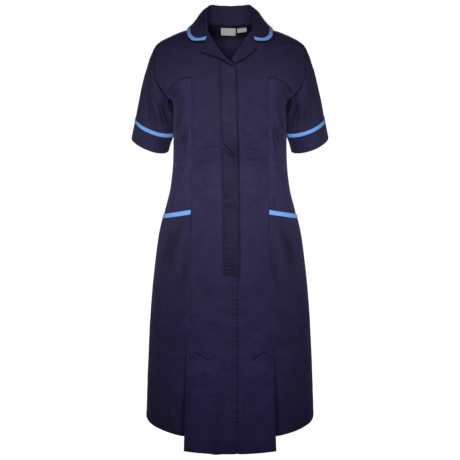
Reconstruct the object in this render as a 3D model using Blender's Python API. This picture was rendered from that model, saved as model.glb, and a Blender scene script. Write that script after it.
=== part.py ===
"""Nurse uniform dress, filled out as it is worn, hollow inside.

Metres, +Z up, the wearer faces -Y. The origin is midway between the two neck points, where the
shoulder seams meet the collar. "Right" and "left" are the wearer's own, so right is -X.

The body of the dress is one smooth form: at each height z its section is a rounded oval with a
half width, a front depth and a back depth. Every panel is a stretch of that form, named by places
(x, z) on it, and is moved out from it by its own height above the cloth below.
"""

import math
from collections import namedtuple

import bpy
import numpy as np

# Cloth
PLY = 0.0012  # body cloth
COLLAR_PLY = 0.0014  # collar and lapels, two layers and a stiffener
PLACKET_PLY = 0.0020  # the fly is folded cloth
TRIM_PLY = 0.0010  # contrast tape
LABEL_PLY = 0.0010
GAP = 0.0003  # between pieces that meet at a seam
SEAM_END_GAP = 0.0003  # half the gap where the panel seam runs into the armhole
LIFT = 0.0006  # under a piece that lies on another

# Heights
HEM_Z = -1.087  # side panels and back
HEM_RISE = 0.012  # up to the side seams
HEM_LEVEL_SHARE = 0.30  # where round the section the rise begins
FRONT_HEM_Z = -1.1215  # the centre front panel hangs lower, at its folded edges
FRONT_HEM_SAG = 0.005  # and a little lower still in the middle
UNDERARM_Z = -0.198
SHOULDER_Z = -0.058  # where the shoulder seam meets the sleeve
NAPE_Z = -0.013
CORNER_Z = -0.127  # top of the side front panel
PLEAT_Z = -0.830  # the kick pleats open below this
NECK_X = 0.0745  # neck point, half the neck's width

# Faces along each piece
CENTRE_COLUMNS = 7
SIDE_COLUMNS = 7
BACK_COLUMNS = 11
NECK_COLUMNS = 4  # of the back's, along half the neck
CHEST_ROWS = 3
PLEAT_ROWS = 5
PLEAT_COLUMNS = 3  # across a pleat's folded return
RING = 24  # round a sleeve
ARM_STEP = 2 * math.pi / RING
SLEEVE_ROWS = 7
CUFF_ROWS = 2
PLACKET_COLUMNS = 4
LABEL_COLUMNS = 3
LABEL_ROWS = 2
NORMAL_STEP = 1e-5  # the form's slope is measured over this distance either way

# The form, section by section: half width, depth in front of and behind the side seams, and how
# square the oval is (2 is an ellipse)
Section = namedtuple("Section", "z half_width front back roundness")
FORM = [
    Section(0.0000, 0.0745, 0.034, 0.066, 2.25),
    Section(-0.0110, 0.0965, 0.044, 0.077, 2.25),
    Section(-0.0240, 0.1335, 0.054, 0.083, 2.25),
    Section(-0.0350, 0.1575, 0.061, 0.088, 2.25),
    Section(-0.0450, 0.1770, 0.066, 0.091, 2.25),
    Section(-0.0580, 0.1925, 0.074, 0.095, 2.25),
    Section(-0.0860, 0.2083, 0.087, 0.101, 2.25),
    Section(-0.1280, 0.2225, 0.103, 0.106, 2.25),
    Section(-0.1655, 0.1953, 0.116, 0.108, 2.45),
    Section(-0.1810, 0.1725, 0.120, 0.108, 2.60),
    Section(-0.1980, 0.1500, 0.124, 0.108, 2.80),
    Section(-0.2250, 0.1477, 0.129, 0.105, 2.95),
    Section(-0.2600, 0.1473, 0.132, 0.100, 2.90),
    Section(-0.3000, 0.1474, 0.125, 0.093, 2.70),
    Section(-0.3600, 0.1490, 0.113, 0.086, 2.45),
    Section(-0.4300, 0.1570, 0.115, 0.102, 2.30),
    Section(-0.5000, 0.1742, 0.122, 0.122, 2.25),
    Section(-0.5600, 0.1893, 0.128, 0.133, 2.25),
    Section(-0.6400, 0.2018, 0.136, 0.138, 2.25),
    Section(-0.7700, 0.2154, 0.148, 0.146, 2.25),
    Section(-0.9200, 0.2254, 0.160, 0.157, 2.25),
    Section(-1.1300, 0.2348, 0.174, 0.172, 2.25),
]

# Heights of the rows that the body panels share, with one at the end of the fly
BODY_HEIGHTS = [-0.198, -0.228, -0.262, -0.300, -0.345, -0.390, -0.430, -0.467,
                -0.505, -0.552, -0.598, -0.641, -0.705, -0.770, -0.830]

# The armhole seam: how far out it lies in front and behind at each height
Armhole = namedtuple("Armhole", "z front back")
ARMHOLE = [
    Armhole(-0.058, 0.1925, 0.1925),
    Armhole(-0.072, 0.1945, 0.1925),
    Armhole(-0.086, 0.1950, 0.1905),
    Armhole(-0.107, 0.1960, 0.1880),
    Armhole(-0.128, 0.1950, 0.1850),
    Armhole(-0.150, 0.1868, 0.1780),
    Armhole(-0.1655, 0.1785, 0.1700),
    Armhole(-0.181, 0.1660, 0.1610),
    Armhole(-0.190, 0.1580, 0.1555),
    Armhole(-0.198, 0.1500, 0.1500),
]

# The seam between the centre front and the side front, and the pleat's edge below PLEAT_Z
PanelEdge = namedtuple("PanelEdge", "z x")
PANEL_EDGE = [
    PanelEdge(-0.127, 0.0974),
    PanelEdge(-0.300, 0.0985),
    PanelEdge(-0.470, 0.1018),
    PanelEdge(-0.700, 0.1035),
    PanelEdge(-0.785, 0.1050),
    PanelEdge(-0.830, 0.1110),
    PanelEdge(-1.122, 0.1170),
]

# The side front panel's top seam, from its square corner round to the armhole
TopSeam = namedtuple("TopSeam", "x z")
TOP_SEAM = [
    TopSeam(0.0974, -0.1270),
    TopSeam(0.1110, -0.1268),
    TopSeam(0.1230, -0.1285),
    TopSeam(0.1345, -0.1360),
    TopSeam(0.1450, -0.1470),
    TopSeam(0.1570, -0.1620),
    TopSeam(0.1685, -0.1775),
]

# Inner edges of the two fronts: the neckline, the fly and the centre seam
FrontEdge = namedtuple("FrontEdge", "z right left")
FRONT_EDGE = [
    FrontEdge(0.000, -0.0745, 0.0745),
    FrontEdge(-0.010, -0.0665, 0.0665),
    FrontEdge(-0.022, -0.0580, 0.0580),
    FrontEdge(-0.050, -0.0315, 0.0295),
    FrontEdge(-0.082, -0.0010, -0.0010),
    FrontEdge(-0.094, 0.0105, 0.0105),
    FrontEdge(-0.114, 0.0112, 0.0112),
    FrontEdge(-0.641, 0.0204, 0.0204),
    FrontEdge(-1.130, 0.0204, 0.0204),
]

# Kick pleats: the centre panel stands off the side panels, which run on behind it
PLEAT_INNER_X = 0.057  # how far in the hidden fold reaches
PLEAT_DROP = 0.032  # the fold's top slopes down by this
PLEAT_LIFT_TOP = 0.0046
PLEAT_LIFT_HEM = 0.0120
PLEAT_LIFT_START_Z = -0.770
PLEAT_FLAT_X = 0.018  # no lift nearer the middle than this
PLEAT_SLOPE_X = 0.032  # full lift this much further out
PLEAT_TURN = 0.0015  # half width of the folded edge
PLEAT_LAYER = 0.0028  # from the panel's face to the face of its folded return

# Sleeve: rings square to the arm; the front of each ring hangs lower than its back
Ring = namedtuple("Ring", "x y z half_width half_depth")
TRIM_RING = Ring(0.2007, 0.016, -0.2700, 0.0536, 0.060)
CUFF_RING = Ring(0.2133, 0.023, -0.3210, 0.0522, 0.056)
CUFF_GAP = 0.0007  # at the seam, which the tape covers
RING_SLANT = math.radians(19.5)
RING_LEAN = math.radians(8.5)
# How each side of the sleeve leaves the armhole and how it comes in to the cuff
Leave = namedtuple("Leave", "x y z")
LEAVE_TOP = Leave(0.072, 0.000, -0.112)
LEAVE_FRONT = Leave(0.050, -0.030, -0.120)
LEAVE_UNDER = Leave(0.004, 0.004, -0.075)
LEAVE_BACK = Leave(0.050, 0.034, -0.120)
ARRIVE_TOP = Leave(0.029, 0.010, -0.150)
ARRIVE_FRONT = Leave(0.026, 0.004, -0.145)
ARRIVE_UNDER = Leave(-0.004, 0.006, -0.085)
ARRIVE_BACK = Leave(0.026, 0.016, -0.145)
SLEEVE_GAP = 0.0008  # the sleeve's first ring stands this far off the armhole
TAPE_WIDTH = 0.0105

# Collar, from the middle of the back to its rounded front end. The seam is just inside the neck's
# edge, the leaf's edge is a place on the form, and the fold is a point in space.
Station = namedtuple("Station", "seam_side seam_x seam_z fold_x fold_y fold_z edge_side edge_x edge_z")
FRONT, BACK = -1, 1
COLLAR = [
    Station(BACK, 0.0000, -0.0130, 0.0000, 0.0720, 0.0415, BACK, 0.0000, -0.0300),
    Station(BACK, 0.0186, -0.0122, 0.0180, 0.0712, 0.0420, BACK, 0.0290, -0.0300),
    Station(BACK, 0.0372, -0.0097, 0.0355, 0.0675, 0.0435, BACK, 0.0570, -0.0298),
    Station(BACK, 0.0559, -0.0057, 0.0510, 0.0570, 0.0450, BACK, 0.0850, -0.0280),
    Station(BACK, 0.0670, -0.0024, 0.0570, 0.0400, 0.0410, BACK, 0.1020, -0.0235),
    Station(BACK, 0.0720, -0.0008, 0.0585, 0.0230, 0.0325, BACK, 0.1078, -0.0185),
    Station(BACK, 0.0745, 0.0000, 0.0592, 0.0080, 0.0225, BACK, 0.1100, -0.0158),
    Station(FRONT, 0.0713, -0.0040, 0.0590, -0.0120, 0.0085, FRONT, 0.1100, -0.0195),
    Station(FRONT, 0.0669, -0.0095, 0.0585, -0.0290, -0.0040, FRONT, 0.1060, -0.0320),
    Station(FRONT, 0.0629, -0.0150, 0.0580, -0.0400, -0.0120, FRONT, 0.0950, -0.0385),
    Station(FRONT, 0.0604, -0.0185, 0.0573, -0.0470, -0.0165, FRONT, 0.0800, -0.0385),
    Station(FRONT, 0.0580, -0.0210, 0.0562, -0.0525, -0.0195, FRONT, 0.0640, -0.0350),
]
COLLAR_INSET = 0.0028  # from the neck's edge to the stand's face
COLLAR_TURN = 0.0027  # half width of the fold
COLLAR_BULGE = 0.10  # the leaf is rounded, by this share of its width
BULGE_SCALE = 27 / 4  # makes the bulge t (1 - t)^2 one at its highest, a third of the way down
BULGE_UP = 0.5  # the bulge leans upwards this much, against one unit out from the cloth
LEAF_MIDDLE = 0.36  # share of the leaf's width where its middle column lies
STAND_MIDDLE = 0.5
COLLAR_LIE = 0.0018  # how far the leaf's edge stands off the cloth

# Lapels: corners as places on the form; the right one crosses over the left
Place = namedtuple("Place", "x z")
LAPEL_RIGHT_ROLL = [Place(0.0535, -0.0290), Place(0.0010, -0.0822), Place(-0.0080, -0.0915)]
LAPEL_RIGHT_LOW = [Place(-0.0080, -0.0915), Place(-0.0060, -0.0965), Place(0.0247, -0.0800),
                   Place(0.0736, -0.0641)]
LAPEL_RIGHT_OUT = [Place(0.0632, -0.0385), Place(0.0736, -0.0641)]
LAPEL_LEFT_ROLL = [Place(0.0535, -0.0290), Place(0.0295, -0.0525), Place(0.0025, -0.0795)]
LAPEL_LEFT_LOW = [Place(0.0025, -0.0795), Place(0.0110, -0.0905), Place(0.0364, -0.0810),
                  Place(0.0664, -0.0572)]
LAPEL_LEFT_OUT = [Place(0.0632, -0.0385), Place(0.0664, -0.0572)]
LAPEL_COLUMNS = 6
LAPEL_ROWS = 5
LAPEL_PUFF = 0.0035  # rounded up in the middle, less towards the low edge
LAPEL_PUFF_LOST = 0.6  # the share of it that is gone there

# Fly placket, on the right front
PLACKET_TOP_Z = -0.103
PLACKET_BOTTOM_Z = -0.641
PLACKET_WIDTH = 0.045
PLACKET_OVER = 0.004  # its free edge reaches past the joint below

# Hip pockets: each side skirt is open along its top, in front of the side front panel
MOUTH_INNER_Z = -0.4727
MOUTH_OUTER_Z = -0.507
MOUTH_LIFT = 0.0010  # the side skirt stands off at the mouth, and lies down by MOUTH_SETTLED_Z
MOUTH_SETTLED_Z = -0.640
MOUTH_TAPE = 0.0117
UNDERLAP_START = 0.010  # the side front begins to dip this far above the mouth
UNDERLAP_END = 0.024  # and ends this far below it

# Neck label and size tab, hanging inside the back neck
Label = namedtuple("Label", "left right top bottom lift")
NECK_LABEL = Label(-0.0241, 0.0149, -0.0175, -0.0375, 0.0013)
SIZE_TAB = Label(0.0190, 0.0450, -0.0172, -0.0282, 0.0020)


def read_table(rows, height, name):
    """A column of a table at any height, on a smooth curve that never overshoots its rows."""
    rows = sorted(rows, key=lambda row: row.z)
    z = np.array([row.z for row in rows])
    value = np.array([getattr(row, name) for row in rows])
    step = np.diff(z)
    slope = np.diff(value) / step
    tangent = np.zeros(len(z))
    for k in range(1, len(z) - 1):
        if slope[k - 1] * slope[k] > 0:
            w1 = 2 * step[k] + step[k - 1]
            w2 = step[k] + 2 * step[k - 1]
            tangent[k] = (w1 + w2) / (w1 / slope[k - 1] + w2 / slope[k])
    tangent[0], tangent[-1] = slope[0], slope[-1]
    height = np.clip(np.asarray(height, float), z[0], z[-1])
    k = np.clip(np.searchsorted(z, height, side="right") - 1, 0, len(z) - 2)
    t = (height - z[k]) / step[k]
    start = (1 + 2 * t) * (1 - t) ** 2 * value[k] + t * (1 - t) ** 2 * step[k] * tangent[k]
    end = t * t * (3 - 2 * t) * value[k + 1] + t * t * (t - 1) * step[k] * tangent[k + 1]
    return start + end


def depth_of(z, side):
    return read_table(FORM, z, "front" if side == FRONT else "back")


def form_level(x, y, z, side):
    """1 on the form, less inside it, more outside."""
    roundness = read_table(FORM, z, "roundness")
    across = (np.abs(x) / read_table(FORM, z, "half_width")) ** roundness
    return across + (np.abs(y) / depth_of(z, side)) ** roundness


def form_points(x, z, side, out=0.0):
    """Points on the form at (x, z), moved out along its normal, and the normals."""
    x, z = np.broadcast_arrays(np.asarray(x, float), np.asarray(z, float))
    roundness = read_table(FORM, z, "roundness")
    share = np.clip(np.abs(x) / read_table(FORM, z, "half_width"), 0, 1)
    y = side * np.maximum((1 - share**roundness) ** (1 / roundness) * depth_of(z, side), GAP / 2)
    place = np.array([x, y, z])
    normal = np.zeros_like(place)
    for axis in range(3):
        step = np.zeros((3,) + (1,) * x.ndim)
        step[axis] = NORMAL_STEP
        normal[axis] = form_level(*(place + step), side) - form_level(*(place - step), side)
    normal = np.moveaxis(normal / np.linalg.norm(normal, axis=0), 0, -1)
    return np.moveaxis(place, 0, -1) + np.asarray(out)[..., None] * normal, normal


def ring_x(z, share):
    """x at a share of the way from the middle (0) to the side seam (1), evenly round the section."""
    power = 2 / read_table(FORM, z, "roundness")
    return read_table(FORM, z, "half_width") * np.sin(np.asarray(share) * math.pi / 2) ** power


def ring_share(x, z):
    ratio = np.clip(np.abs(x) / read_table(FORM, z, "half_width"), 0, 1)
    return np.sign(x) * np.arcsin(ratio ** (read_table(FORM, z, "roundness") / 2)) / (math.pi / 2)


def ring_place(z, share):
    return np.sign(share) * ring_x(z, np.abs(share))


def spread(places, count):
    """count + 1 places evenly along a line through the given ones, as an array of (x, z)."""
    line = np.array([[p.x, p.z] for p in places])
    length = np.concatenate([[0], np.cumsum(np.linalg.norm(np.diff(line, axis=0), axis=1))])
    at = np.linspace(0, length[-1], count + 1)
    return np.stack([np.interp(at, length, line[:, 0]), np.interp(at, length, line[:, 1])], -1)


def coons(bottom, top, left, right, rows_at):
    """A patch of (x, z) places between four edges. rows_at gives each row's share of the way up."""
    u = np.linspace(0, 1, len(bottom))[None, :, None]
    v = np.asarray(rows_at)[:, None, None]
    bottom, top = bottom[None], top[None]
    left, right = left[:, None], right[:, None]
    ruled = (1 - v) * bottom + v * top + (1 - u) * left + u * right
    corners = (1 - u) * (1 - v) * bottom[:, :1] + u * (1 - v) * bottom[:, -1:]
    corners = corners + (1 - u) * v * top[:, :1] + u * v * top[:, -1:]
    return ruled - corners


def arm_z(angle):
    """Height on the armhole at an angle round it, 0 at the shoulder and pi under the arm."""
    middle, reach = (SHOULDER_Z + UNDERARM_Z) / 2, (SHOULDER_Z - UNDERARM_Z) / 2
    return middle + reach * np.cos(angle)


def arm_edge(z, side):
    """Places on the armhole seam at these heights, as (x, z)."""
    return np.stack([read_table(ARMHOLE, z, "front" if side == FRONT else "back"), z], -1)


def patch(places, side, sign=1, out=0.0):
    """A grid of places turned into points and normals on the form; sign -1 is the wearer's right."""
    points, normals = form_points(places[..., 0], places[..., 1], side, out)
    flip = np.array([sign, 1, 1])
    return points * flip, normals * flip


def turned_over(face):
    """The face seen from behind, split along the same diagonal."""
    return [face[0]] + face[:0:-1]


def weld(patches):
    """Joins grids that share edges into one open sheet of points, normals and faces."""
    points, normals, faces, index = [], [], [], {}
    for grid, normal in patches:
        rows, columns = grid.shape[:2]
        number = np.zeros((rows, columns), int)
        for i in range(rows):
            for j in range(columns):
                key = tuple(np.round(grid[i, j], 7))
                if key not in index:
                    index[key] = len(points)
                    points.append(grid[i, j])
                    normals.append(normal[i, j])
                number[i, j] = index[key]
        across = np.cross(grid[1:, :-1] - grid[:-1, :-1], grid[:-1, 1:] - grid[:-1, :-1])
        outward = (across * normal[:-1, :-1]).sum() > 0
        for i in range(rows - 1):
            for j in range(columns - 1):
                face = [number[i, j], number[i + 1, j], number[i + 1, j + 1], number[i, j + 1]]
                face = list(dict.fromkeys(face))
                if len(face) > 2:
                    faces.append(face if outward else turned_over(face))
    return np.array(points), np.array(normals), faces


def cloth(name, patches, thickness, material):
    """A closed wall: the sheet as its outer face, an inner face, and a rim along every free edge."""
    points, normals, faces = weld(patches)
    count = len(points)
    vertices = np.concatenate([points, points - thickness * normals])
    edges = {}
    for face in faces:
        for a, b in zip(face, face[1:] + face[:1]):
            edges[(a, b)] = True
    rim = [[b, a, a + count, b + count] for a, b in edges if (b, a) not in edges]
    inner = [[v + count for v in turned_over(face)] for face in faces]
    mesh = bpy.data.meshes.new(name)
    mesh.from_pydata(vertices.tolist(), [], faces + inner + rim)
    mesh.materials.append(material)
    mesh.validate()
    mesh.shade_smooth()
    mesh.set_sharp_from_angle(angle=math.radians(40))
    made = bpy.data.objects.new(name, mesh)
    bpy.context.scene.collection.objects.link(made)
    return made


def make_material(name, colour, roughness):
    material = bpy.data.materials.new(name)
    material.use_nodes = True
    shader = material.node_tree.nodes["Principled BSDF"]
    shader.inputs["Base Color"].default_value = (*colour, 1)
    shader.inputs["Roughness"].default_value = roughness
    shader.inputs["Metallic"].default_value = 0
    return material


def panel_edge(z):
    return read_table(PANEL_EDGE, z, "x")


def pleat_lift(x, z):
    """How far the centre front panel stands off the form, below PLEAT_LIFT_START_Z and near its edge."""
    rise = rise_smoothly((PLEAT_LIFT_START_Z - z) / (PLEAT_LIFT_START_Z - PLEAT_Z))
    fall = np.clip((PLEAT_Z - z) / (PLEAT_Z - FRONT_HEM_Z), 0, 1)
    height = PLEAT_LIFT_TOP * rise + (PLEAT_LIFT_HEM - PLEAT_LIFT_TOP) * fall
    return height * rise_smoothly((np.abs(x) - PLEAT_FLAT_X) / PLEAT_SLOPE_X)


def band_rows():
    """Heights that the body panels share, from the corner of the side front down to the pleat."""
    return np.concatenate([np.linspace(CORNER_Z, UNDERARM_Z, CHEST_ROWS + 1), BODY_HEIGHTS[1:]])


def seam_line(shift):
    """The side front's top seam, moved by shift away from that panel, as (x, z)."""
    line = spread(TOP_SEAM, SIDE_COLUMNS)
    along = np.gradient(line, axis=0)
    along /= np.linalg.norm(along, axis=1, keepdims=True)
    line = line + shift * np.stack([-along[:, 1], along[:, 0]], -1)
    line[0, 0] = panel_edge(CORNER_Z) - GAP / 2 * np.sign(shift)
    return line


def rise_smoothly(t):
    t = np.clip(t, 0, 1)
    return t * t * (3 - 2 * t)


def down_to(hem):
    """Heights by row and column, from the corner of the side front to a hem given column by column."""
    below = np.linspace(0, 1, PLEAT_ROWS + 1)[1:, None]
    above = np.repeat(band_rows()[:, None], len(hem), 1)
    return np.concatenate([above, PLEAT_Z + (hem - PLEAT_Z) * below])


def side_hem(share):
    return HEM_Z + HEM_RISE * rise_smoothly((share - HEM_LEVEL_SHARE) / (1 - HEM_LEVEL_SHARE))


def front_panel(name, inner_edge, sign, material):
    """One centre front, shoulder to hem in one piece, with its pleat's folded return."""
    run = np.linspace(0, 1, CENTRE_COLUMNS + 1)
    hem_x = inner_edge(FRONT_HEM_Z) + (panel_edge(FRONT_HEM_Z) - inner_edge(FRONT_HEM_Z)) * run
    z = down_to(FRONT_HEM_Z - FRONT_HEM_SAG * (1 - (hem_x / hem_x[-1]) ** 2))
    z[0] += GAP / 2
    share_in = ring_share(inner_edge(z), z)
    share_out = ring_share(panel_edge(z) - GAP / 2, z)
    lower = np.stack([ring_place(z, share_in + (share_out - share_in) * run), z], -1)
    lift = pleat_lift(lower[..., 0], lower[..., 1])
    patches = [patch(lower, FRONT, sign, lift)]

    # Above the corner: from the panel seam up to the shoulder
    arm_heights = arm_z(np.arange(RING // 2 - CHEST_ROWS, -1, -1) * ARM_STEP)
    arm_heights[0] += SEAM_END_GAP
    right = arm_edge(arm_heights, FRONT)
    rows_at = (right[:, 1] - right[0, 1]) / (right[-1, 1] - right[0, 1])
    seam = seam_line(GAP / 2)
    seam[-1] = right[0]
    bottom = np.concatenate([lower[0], seam[1:]])
    left_z = z[0, 0] * (1 - rows_at)
    left = np.stack([inner_edge(left_z), left_z], -1)
    top_z = np.linspace(0, SHOULDER_Z, len(bottom))
    top = np.stack([read_table(FORM, top_z, "half_width"), top_z], -1)
    upper = coons(bottom, top, left, right, rows_at)
    upper[0] = bottom
    patches.append(patch(upper, FRONT, sign))

    # The return: over the folded edge and back behind the panel
    edge_x, rows = lower[-PLEAT_ROWS - 1 :, -1].T
    edge_lift = lift[-PLEAT_ROWS - 1 :, -1]
    inward = np.linspace(0, 1, PLEAT_COLUMNS + 1)
    x = edge_x[:, None] + (PLEAT_INNER_X - edge_x)[:, None] * inward
    low = (rows - FRONT_HEM_Z) / (PLEAT_Z - FRONT_HEM_Z)
    z = rows[:, None] - PLEAT_DROP * low[:, None] * inward
    points, normals = form_points(x, z, FRONT, (edge_lift - PLEAT_LAYER)[:, None])
    _, turn_normal = form_points(edge_x, rows, FRONT)
    sideways = np.cross(turn_normal, np.array([0, 0, 1.0]))
    sideways *= np.sign(sideways[:, :1]) / np.linalg.norm(sideways, axis=1, keepdims=True)
    start, _ = form_points(edge_x, rows, FRONT, edge_lift)
    turn = start - turn_normal * PLEAT_LAYER / 2 + sideways * PLEAT_TURN
    grid = np.concatenate([start[:, None], turn[:, None], points], 1)
    turned = np.concatenate([turn_normal[:, None], sideways[:, None], -normals], 1)
    flip = np.array([sign, 1, 1])
    patches.append((grid * flip, turned * flip))
    return cloth(name, patches, PLY, material)


def mouth_z(run):
    """Height of the pocket's mouth, from the panel seam (0) to the side seam (1)."""
    return MOUTH_INNER_Z + (MOUTH_OUTER_Z - MOUTH_INNER_Z) * run


def side_places(z, run):
    """Places across a side panel, from its seam with the centre front to the side seam."""
    share_in = ring_share(panel_edge(z) + GAP / 2, z)
    return np.stack([ring_x(z, share_in + (1 - share_in) * run), z], -1)


def side_front_panel(name, sign, material):
    """The side front, from its squared top seam to just behind the pocket's mouth."""
    run = np.linspace(0, 1, SIDE_COLUMNS + 1)
    level = [height + 0 * run for height in BODY_HEIGHTS if height > MOUTH_INNER_Z + UNDERLAP_START]
    z = np.array(level + [mouth_z(run) + UNDERLAP_START, mouth_z(run), mouth_z(run) - UNDERLAP_END])
    dip = np.zeros_like(z)
    dip[-2:] = MOUTH_LIFT - PLY - LIFT
    lower = side_places(z, run)

    arm_heights = arm_z(math.pi - np.arange(CHEST_ROWS + 1) * ARM_STEP)
    arm_heights[-1] -= SEAM_END_GAP
    right = arm_edge(arm_heights, FRONT)
    top = seam_line(-GAP / 2)
    top[-1] = right[-1]
    rows_at = np.linspace(0, 1, CHEST_ROWS + 1)
    left_z = UNDERARM_Z + (top[0, 1] - UNDERARM_Z) * rows_at
    left = np.stack([panel_edge(left_z) + GAP / 2, left_z], -1)
    upper = coons(lower[0], top, left, right, rows_at)
    upper[0] = lower[0]
    return cloth(name, [patch(lower, FRONT, sign, dip), patch(upper, FRONT, sign)], PLY, material)


def side_skirt_pieces(side_name, sign, cloth_material, tape_material):
    """The side of the skirt, from the pocket's mouth to the hem, and the tape along the mouth."""
    run = np.linspace(0, 1, SIDE_COLUMNS + 1)
    first = ring_share(panel_edge(HEM_Z), HEM_Z)
    z = down_to(side_hem(first + (1 - first) * run))
    z = np.concatenate([[mouth_z(run), mouth_z(run) - MOUTH_TAPE], z[z[:, 0] < MOUTH_OUTER_Z - MOUTH_TAPE]])
    lower = side_places(z, run)
    off = MOUTH_LIFT * rise_smoothly((z - MOUTH_SETTLED_Z) / (MOUTH_OUTER_Z - MOUTH_SETTLED_Z))

    edge_x, rows = lower[-PLEAT_ROWS - 1 :, 0].T
    inward = np.linspace(1, 0, PLEAT_COLUMNS + 1)
    x = edge_x[:, None] + (PLEAT_INNER_X - edge_x)[:, None] * inward
    low = (rows - HEM_Z) / (PLEAT_Z - HEM_Z)
    behind = np.stack([x, rows[:, None] - PLEAT_DROP * low[:, None] * inward], -1)
    behind[:, -1] = lower[-PLEAT_ROWS - 1 :, 0]
    patches = [patch(lower, FRONT, sign, off), patch(behind, FRONT, sign)]
    cloth(f"side_skirt_{side_name}", patches, PLY, cloth_material)
    tape = patch(lower[:2], FRONT, sign, off[:2] + LIFT + TRIM_PLY)
    cloth(f"pocket_trim_{side_name}", [tape], TRIM_PLY, tape_material)


def back_panel(name, material):
    """The whole back in one piece, side seam to side seam."""
    share = np.linspace(0, 1, BACK_COLUMNS + 1)
    z = down_to(side_hem(share))[CHEST_ROWS:]
    lower = np.stack([ring_x(z, share), z], -1)
    right = arm_edge(arm_z(np.arange(RING // 2, -1, -1) * ARM_STEP), BACK)
    rows_at = (right[:, 1] - UNDERARM_Z) / (SHOULDER_Z - UNDERARM_Z)
    left = np.stack([np.zeros(len(rows_at)), UNDERARM_Z + (NAPE_Z - UNDERARM_Z) * rows_at], -1)
    neck_x = np.linspace(0, NECK_X, NECK_COLUMNS + 1)[:-1]
    neck = np.stack([neck_x, NAPE_Z * (1 - (neck_x / NECK_X) ** 2)], -1)
    shoulder_z = np.linspace(0, SHOULDER_Z, BACK_COLUMNS + 1 - NECK_COLUMNS)
    shoulder = np.stack([read_table(FORM, shoulder_z, "half_width"), shoulder_z], -1)
    upper = coons(lower[0], np.concatenate([neck, shoulder]), left, right, rows_at)
    upper[0] = lower[0]
    patches = [patch(p, BACK, sign) for sign in (1, -1) for p in (lower, upper)]
    return cloth(name, patches, PLY, material)


def round_arm(top, front, under, back, angle):
    """A value that runs smoothly round the arm through four given ones."""
    top, front, under, back = (np.array(v, float) for v in (top, front, under, back))
    angle = np.asarray(angle)[:, None]
    mean = (top + front + under + back) / 4
    twice = (top - front + under - back) / 4
    once = (top - under) / 2 * np.cos(angle) + (front - back) / 2 * np.sin(angle)
    return mean + once + twice * np.cos(2 * angle)


def ring_points(ring, angle):
    """An oval round the arm: angle 0 is its outer end, a quarter turn its front."""
    centre = np.array([ring.x, ring.y, ring.z])
    outward = np.array([math.cos(RING_SLANT), 0, math.sin(RING_SLANT)])
    forward = np.array([0, -math.cos(RING_LEAN), -math.sin(RING_LEAN)])
    angle = np.asarray(angle)[:, None]
    return centre + ring.half_width * np.cos(angle) * outward + ring.half_depth * np.sin(angle) * forward


def armhole_loop(angle):
    front, back = arm_edge(arm_z(angle), FRONT), arm_edge(arm_z(angle), BACK)
    points_front, _ = form_points(front[:, 0], front[:, 1], FRONT)
    points_back, _ = form_points(back[:, 0], back[:, 1], BACK)
    return np.where((np.sin(angle) >= 0)[:, None], points_front, points_back)


def grid_normals(grid, closed):
    """Normals of a grid whose columns go round, pointing away from its middle line."""
    if closed:
        round_step = np.roll(grid, -1, 1) - np.roll(grid, 1, 1)
    else:
        round_step = np.gradient(grid, axis=1)
    normal = np.cross(np.gradient(grid, axis=0), round_step)
    return normal / np.linalg.norm(normal, axis=-1, keepdims=True)


def sleeve_pieces(side_name, sign, cloth_material, tape_material):
    """Sleeve, turned cuff, and the tape that covers the seam between them."""
    angle = np.arange(RING) * ARM_STEP
    start = armhole_loop(angle)
    end, hem = ring_points(TRIM_RING, angle), ring_points(CUFF_RING, angle)
    along = (hem - end) / np.linalg.norm(hem - end, axis=1, keepdims=True)
    leave = round_arm(LEAVE_TOP, LEAVE_FRONT, LEAVE_UNDER, LEAVE_BACK, angle)
    arrive = round_arm(ARRIVE_TOP, ARRIVE_FRONT, ARRIVE_UNDER, ARRIVE_BACK, angle)
    start = start + SLEEVE_GAP * leave / np.linalg.norm(leave, axis=1, keepdims=True)
    start[:, 0] += SLEEVE_GAP / 2
    t = np.linspace(0, 1, SLEEVE_ROWS + 1)[:, None, None]
    sleeve = (1 + 2 * t) * (1 - t) ** 2 * start + t * (1 - t) ** 2 * leave
    sleeve = sleeve + t * t * (3 - 2 * t) * end + t * t * (t - 1) * arrive
    s = np.linspace(0, 1, CUFF_ROWS + 1)[:, None, None]
    cuff = end * (1 - s) + hem * s + CUFF_GAP * along * (1 - s)
    tape = np.stack([end - along * TAPE_WIDTH / 2, end, end + along * TAPE_WIDTH / 2])
    pieces = ((f"sleeve_{side_name}", sleeve, PLY, cloth_material, 0.0),
              (f"cuff_{side_name}", cuff, PLY, cloth_material, 0.0),
              (f"sleeve_trim_{side_name}", tape, TRIM_PLY, tape_material, LIFT + TRIM_PLY))
    flip = np.array([sign, 1, 1])
    for name, grid, thickness, material, out in pieces:
        normal = grid_normals(grid, True)
        outward = ((grid - grid.mean(1, keepdims=True)) * normal).sum() > 0
        normal = normal if outward else -normal
        grid = grid + out * normal
        grid, normal = (np.concatenate([a, a[:, :1]], 1) * flip for a in (grid, normal))
        cloth(name, [(grid, normal)], thickness, material)


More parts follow.
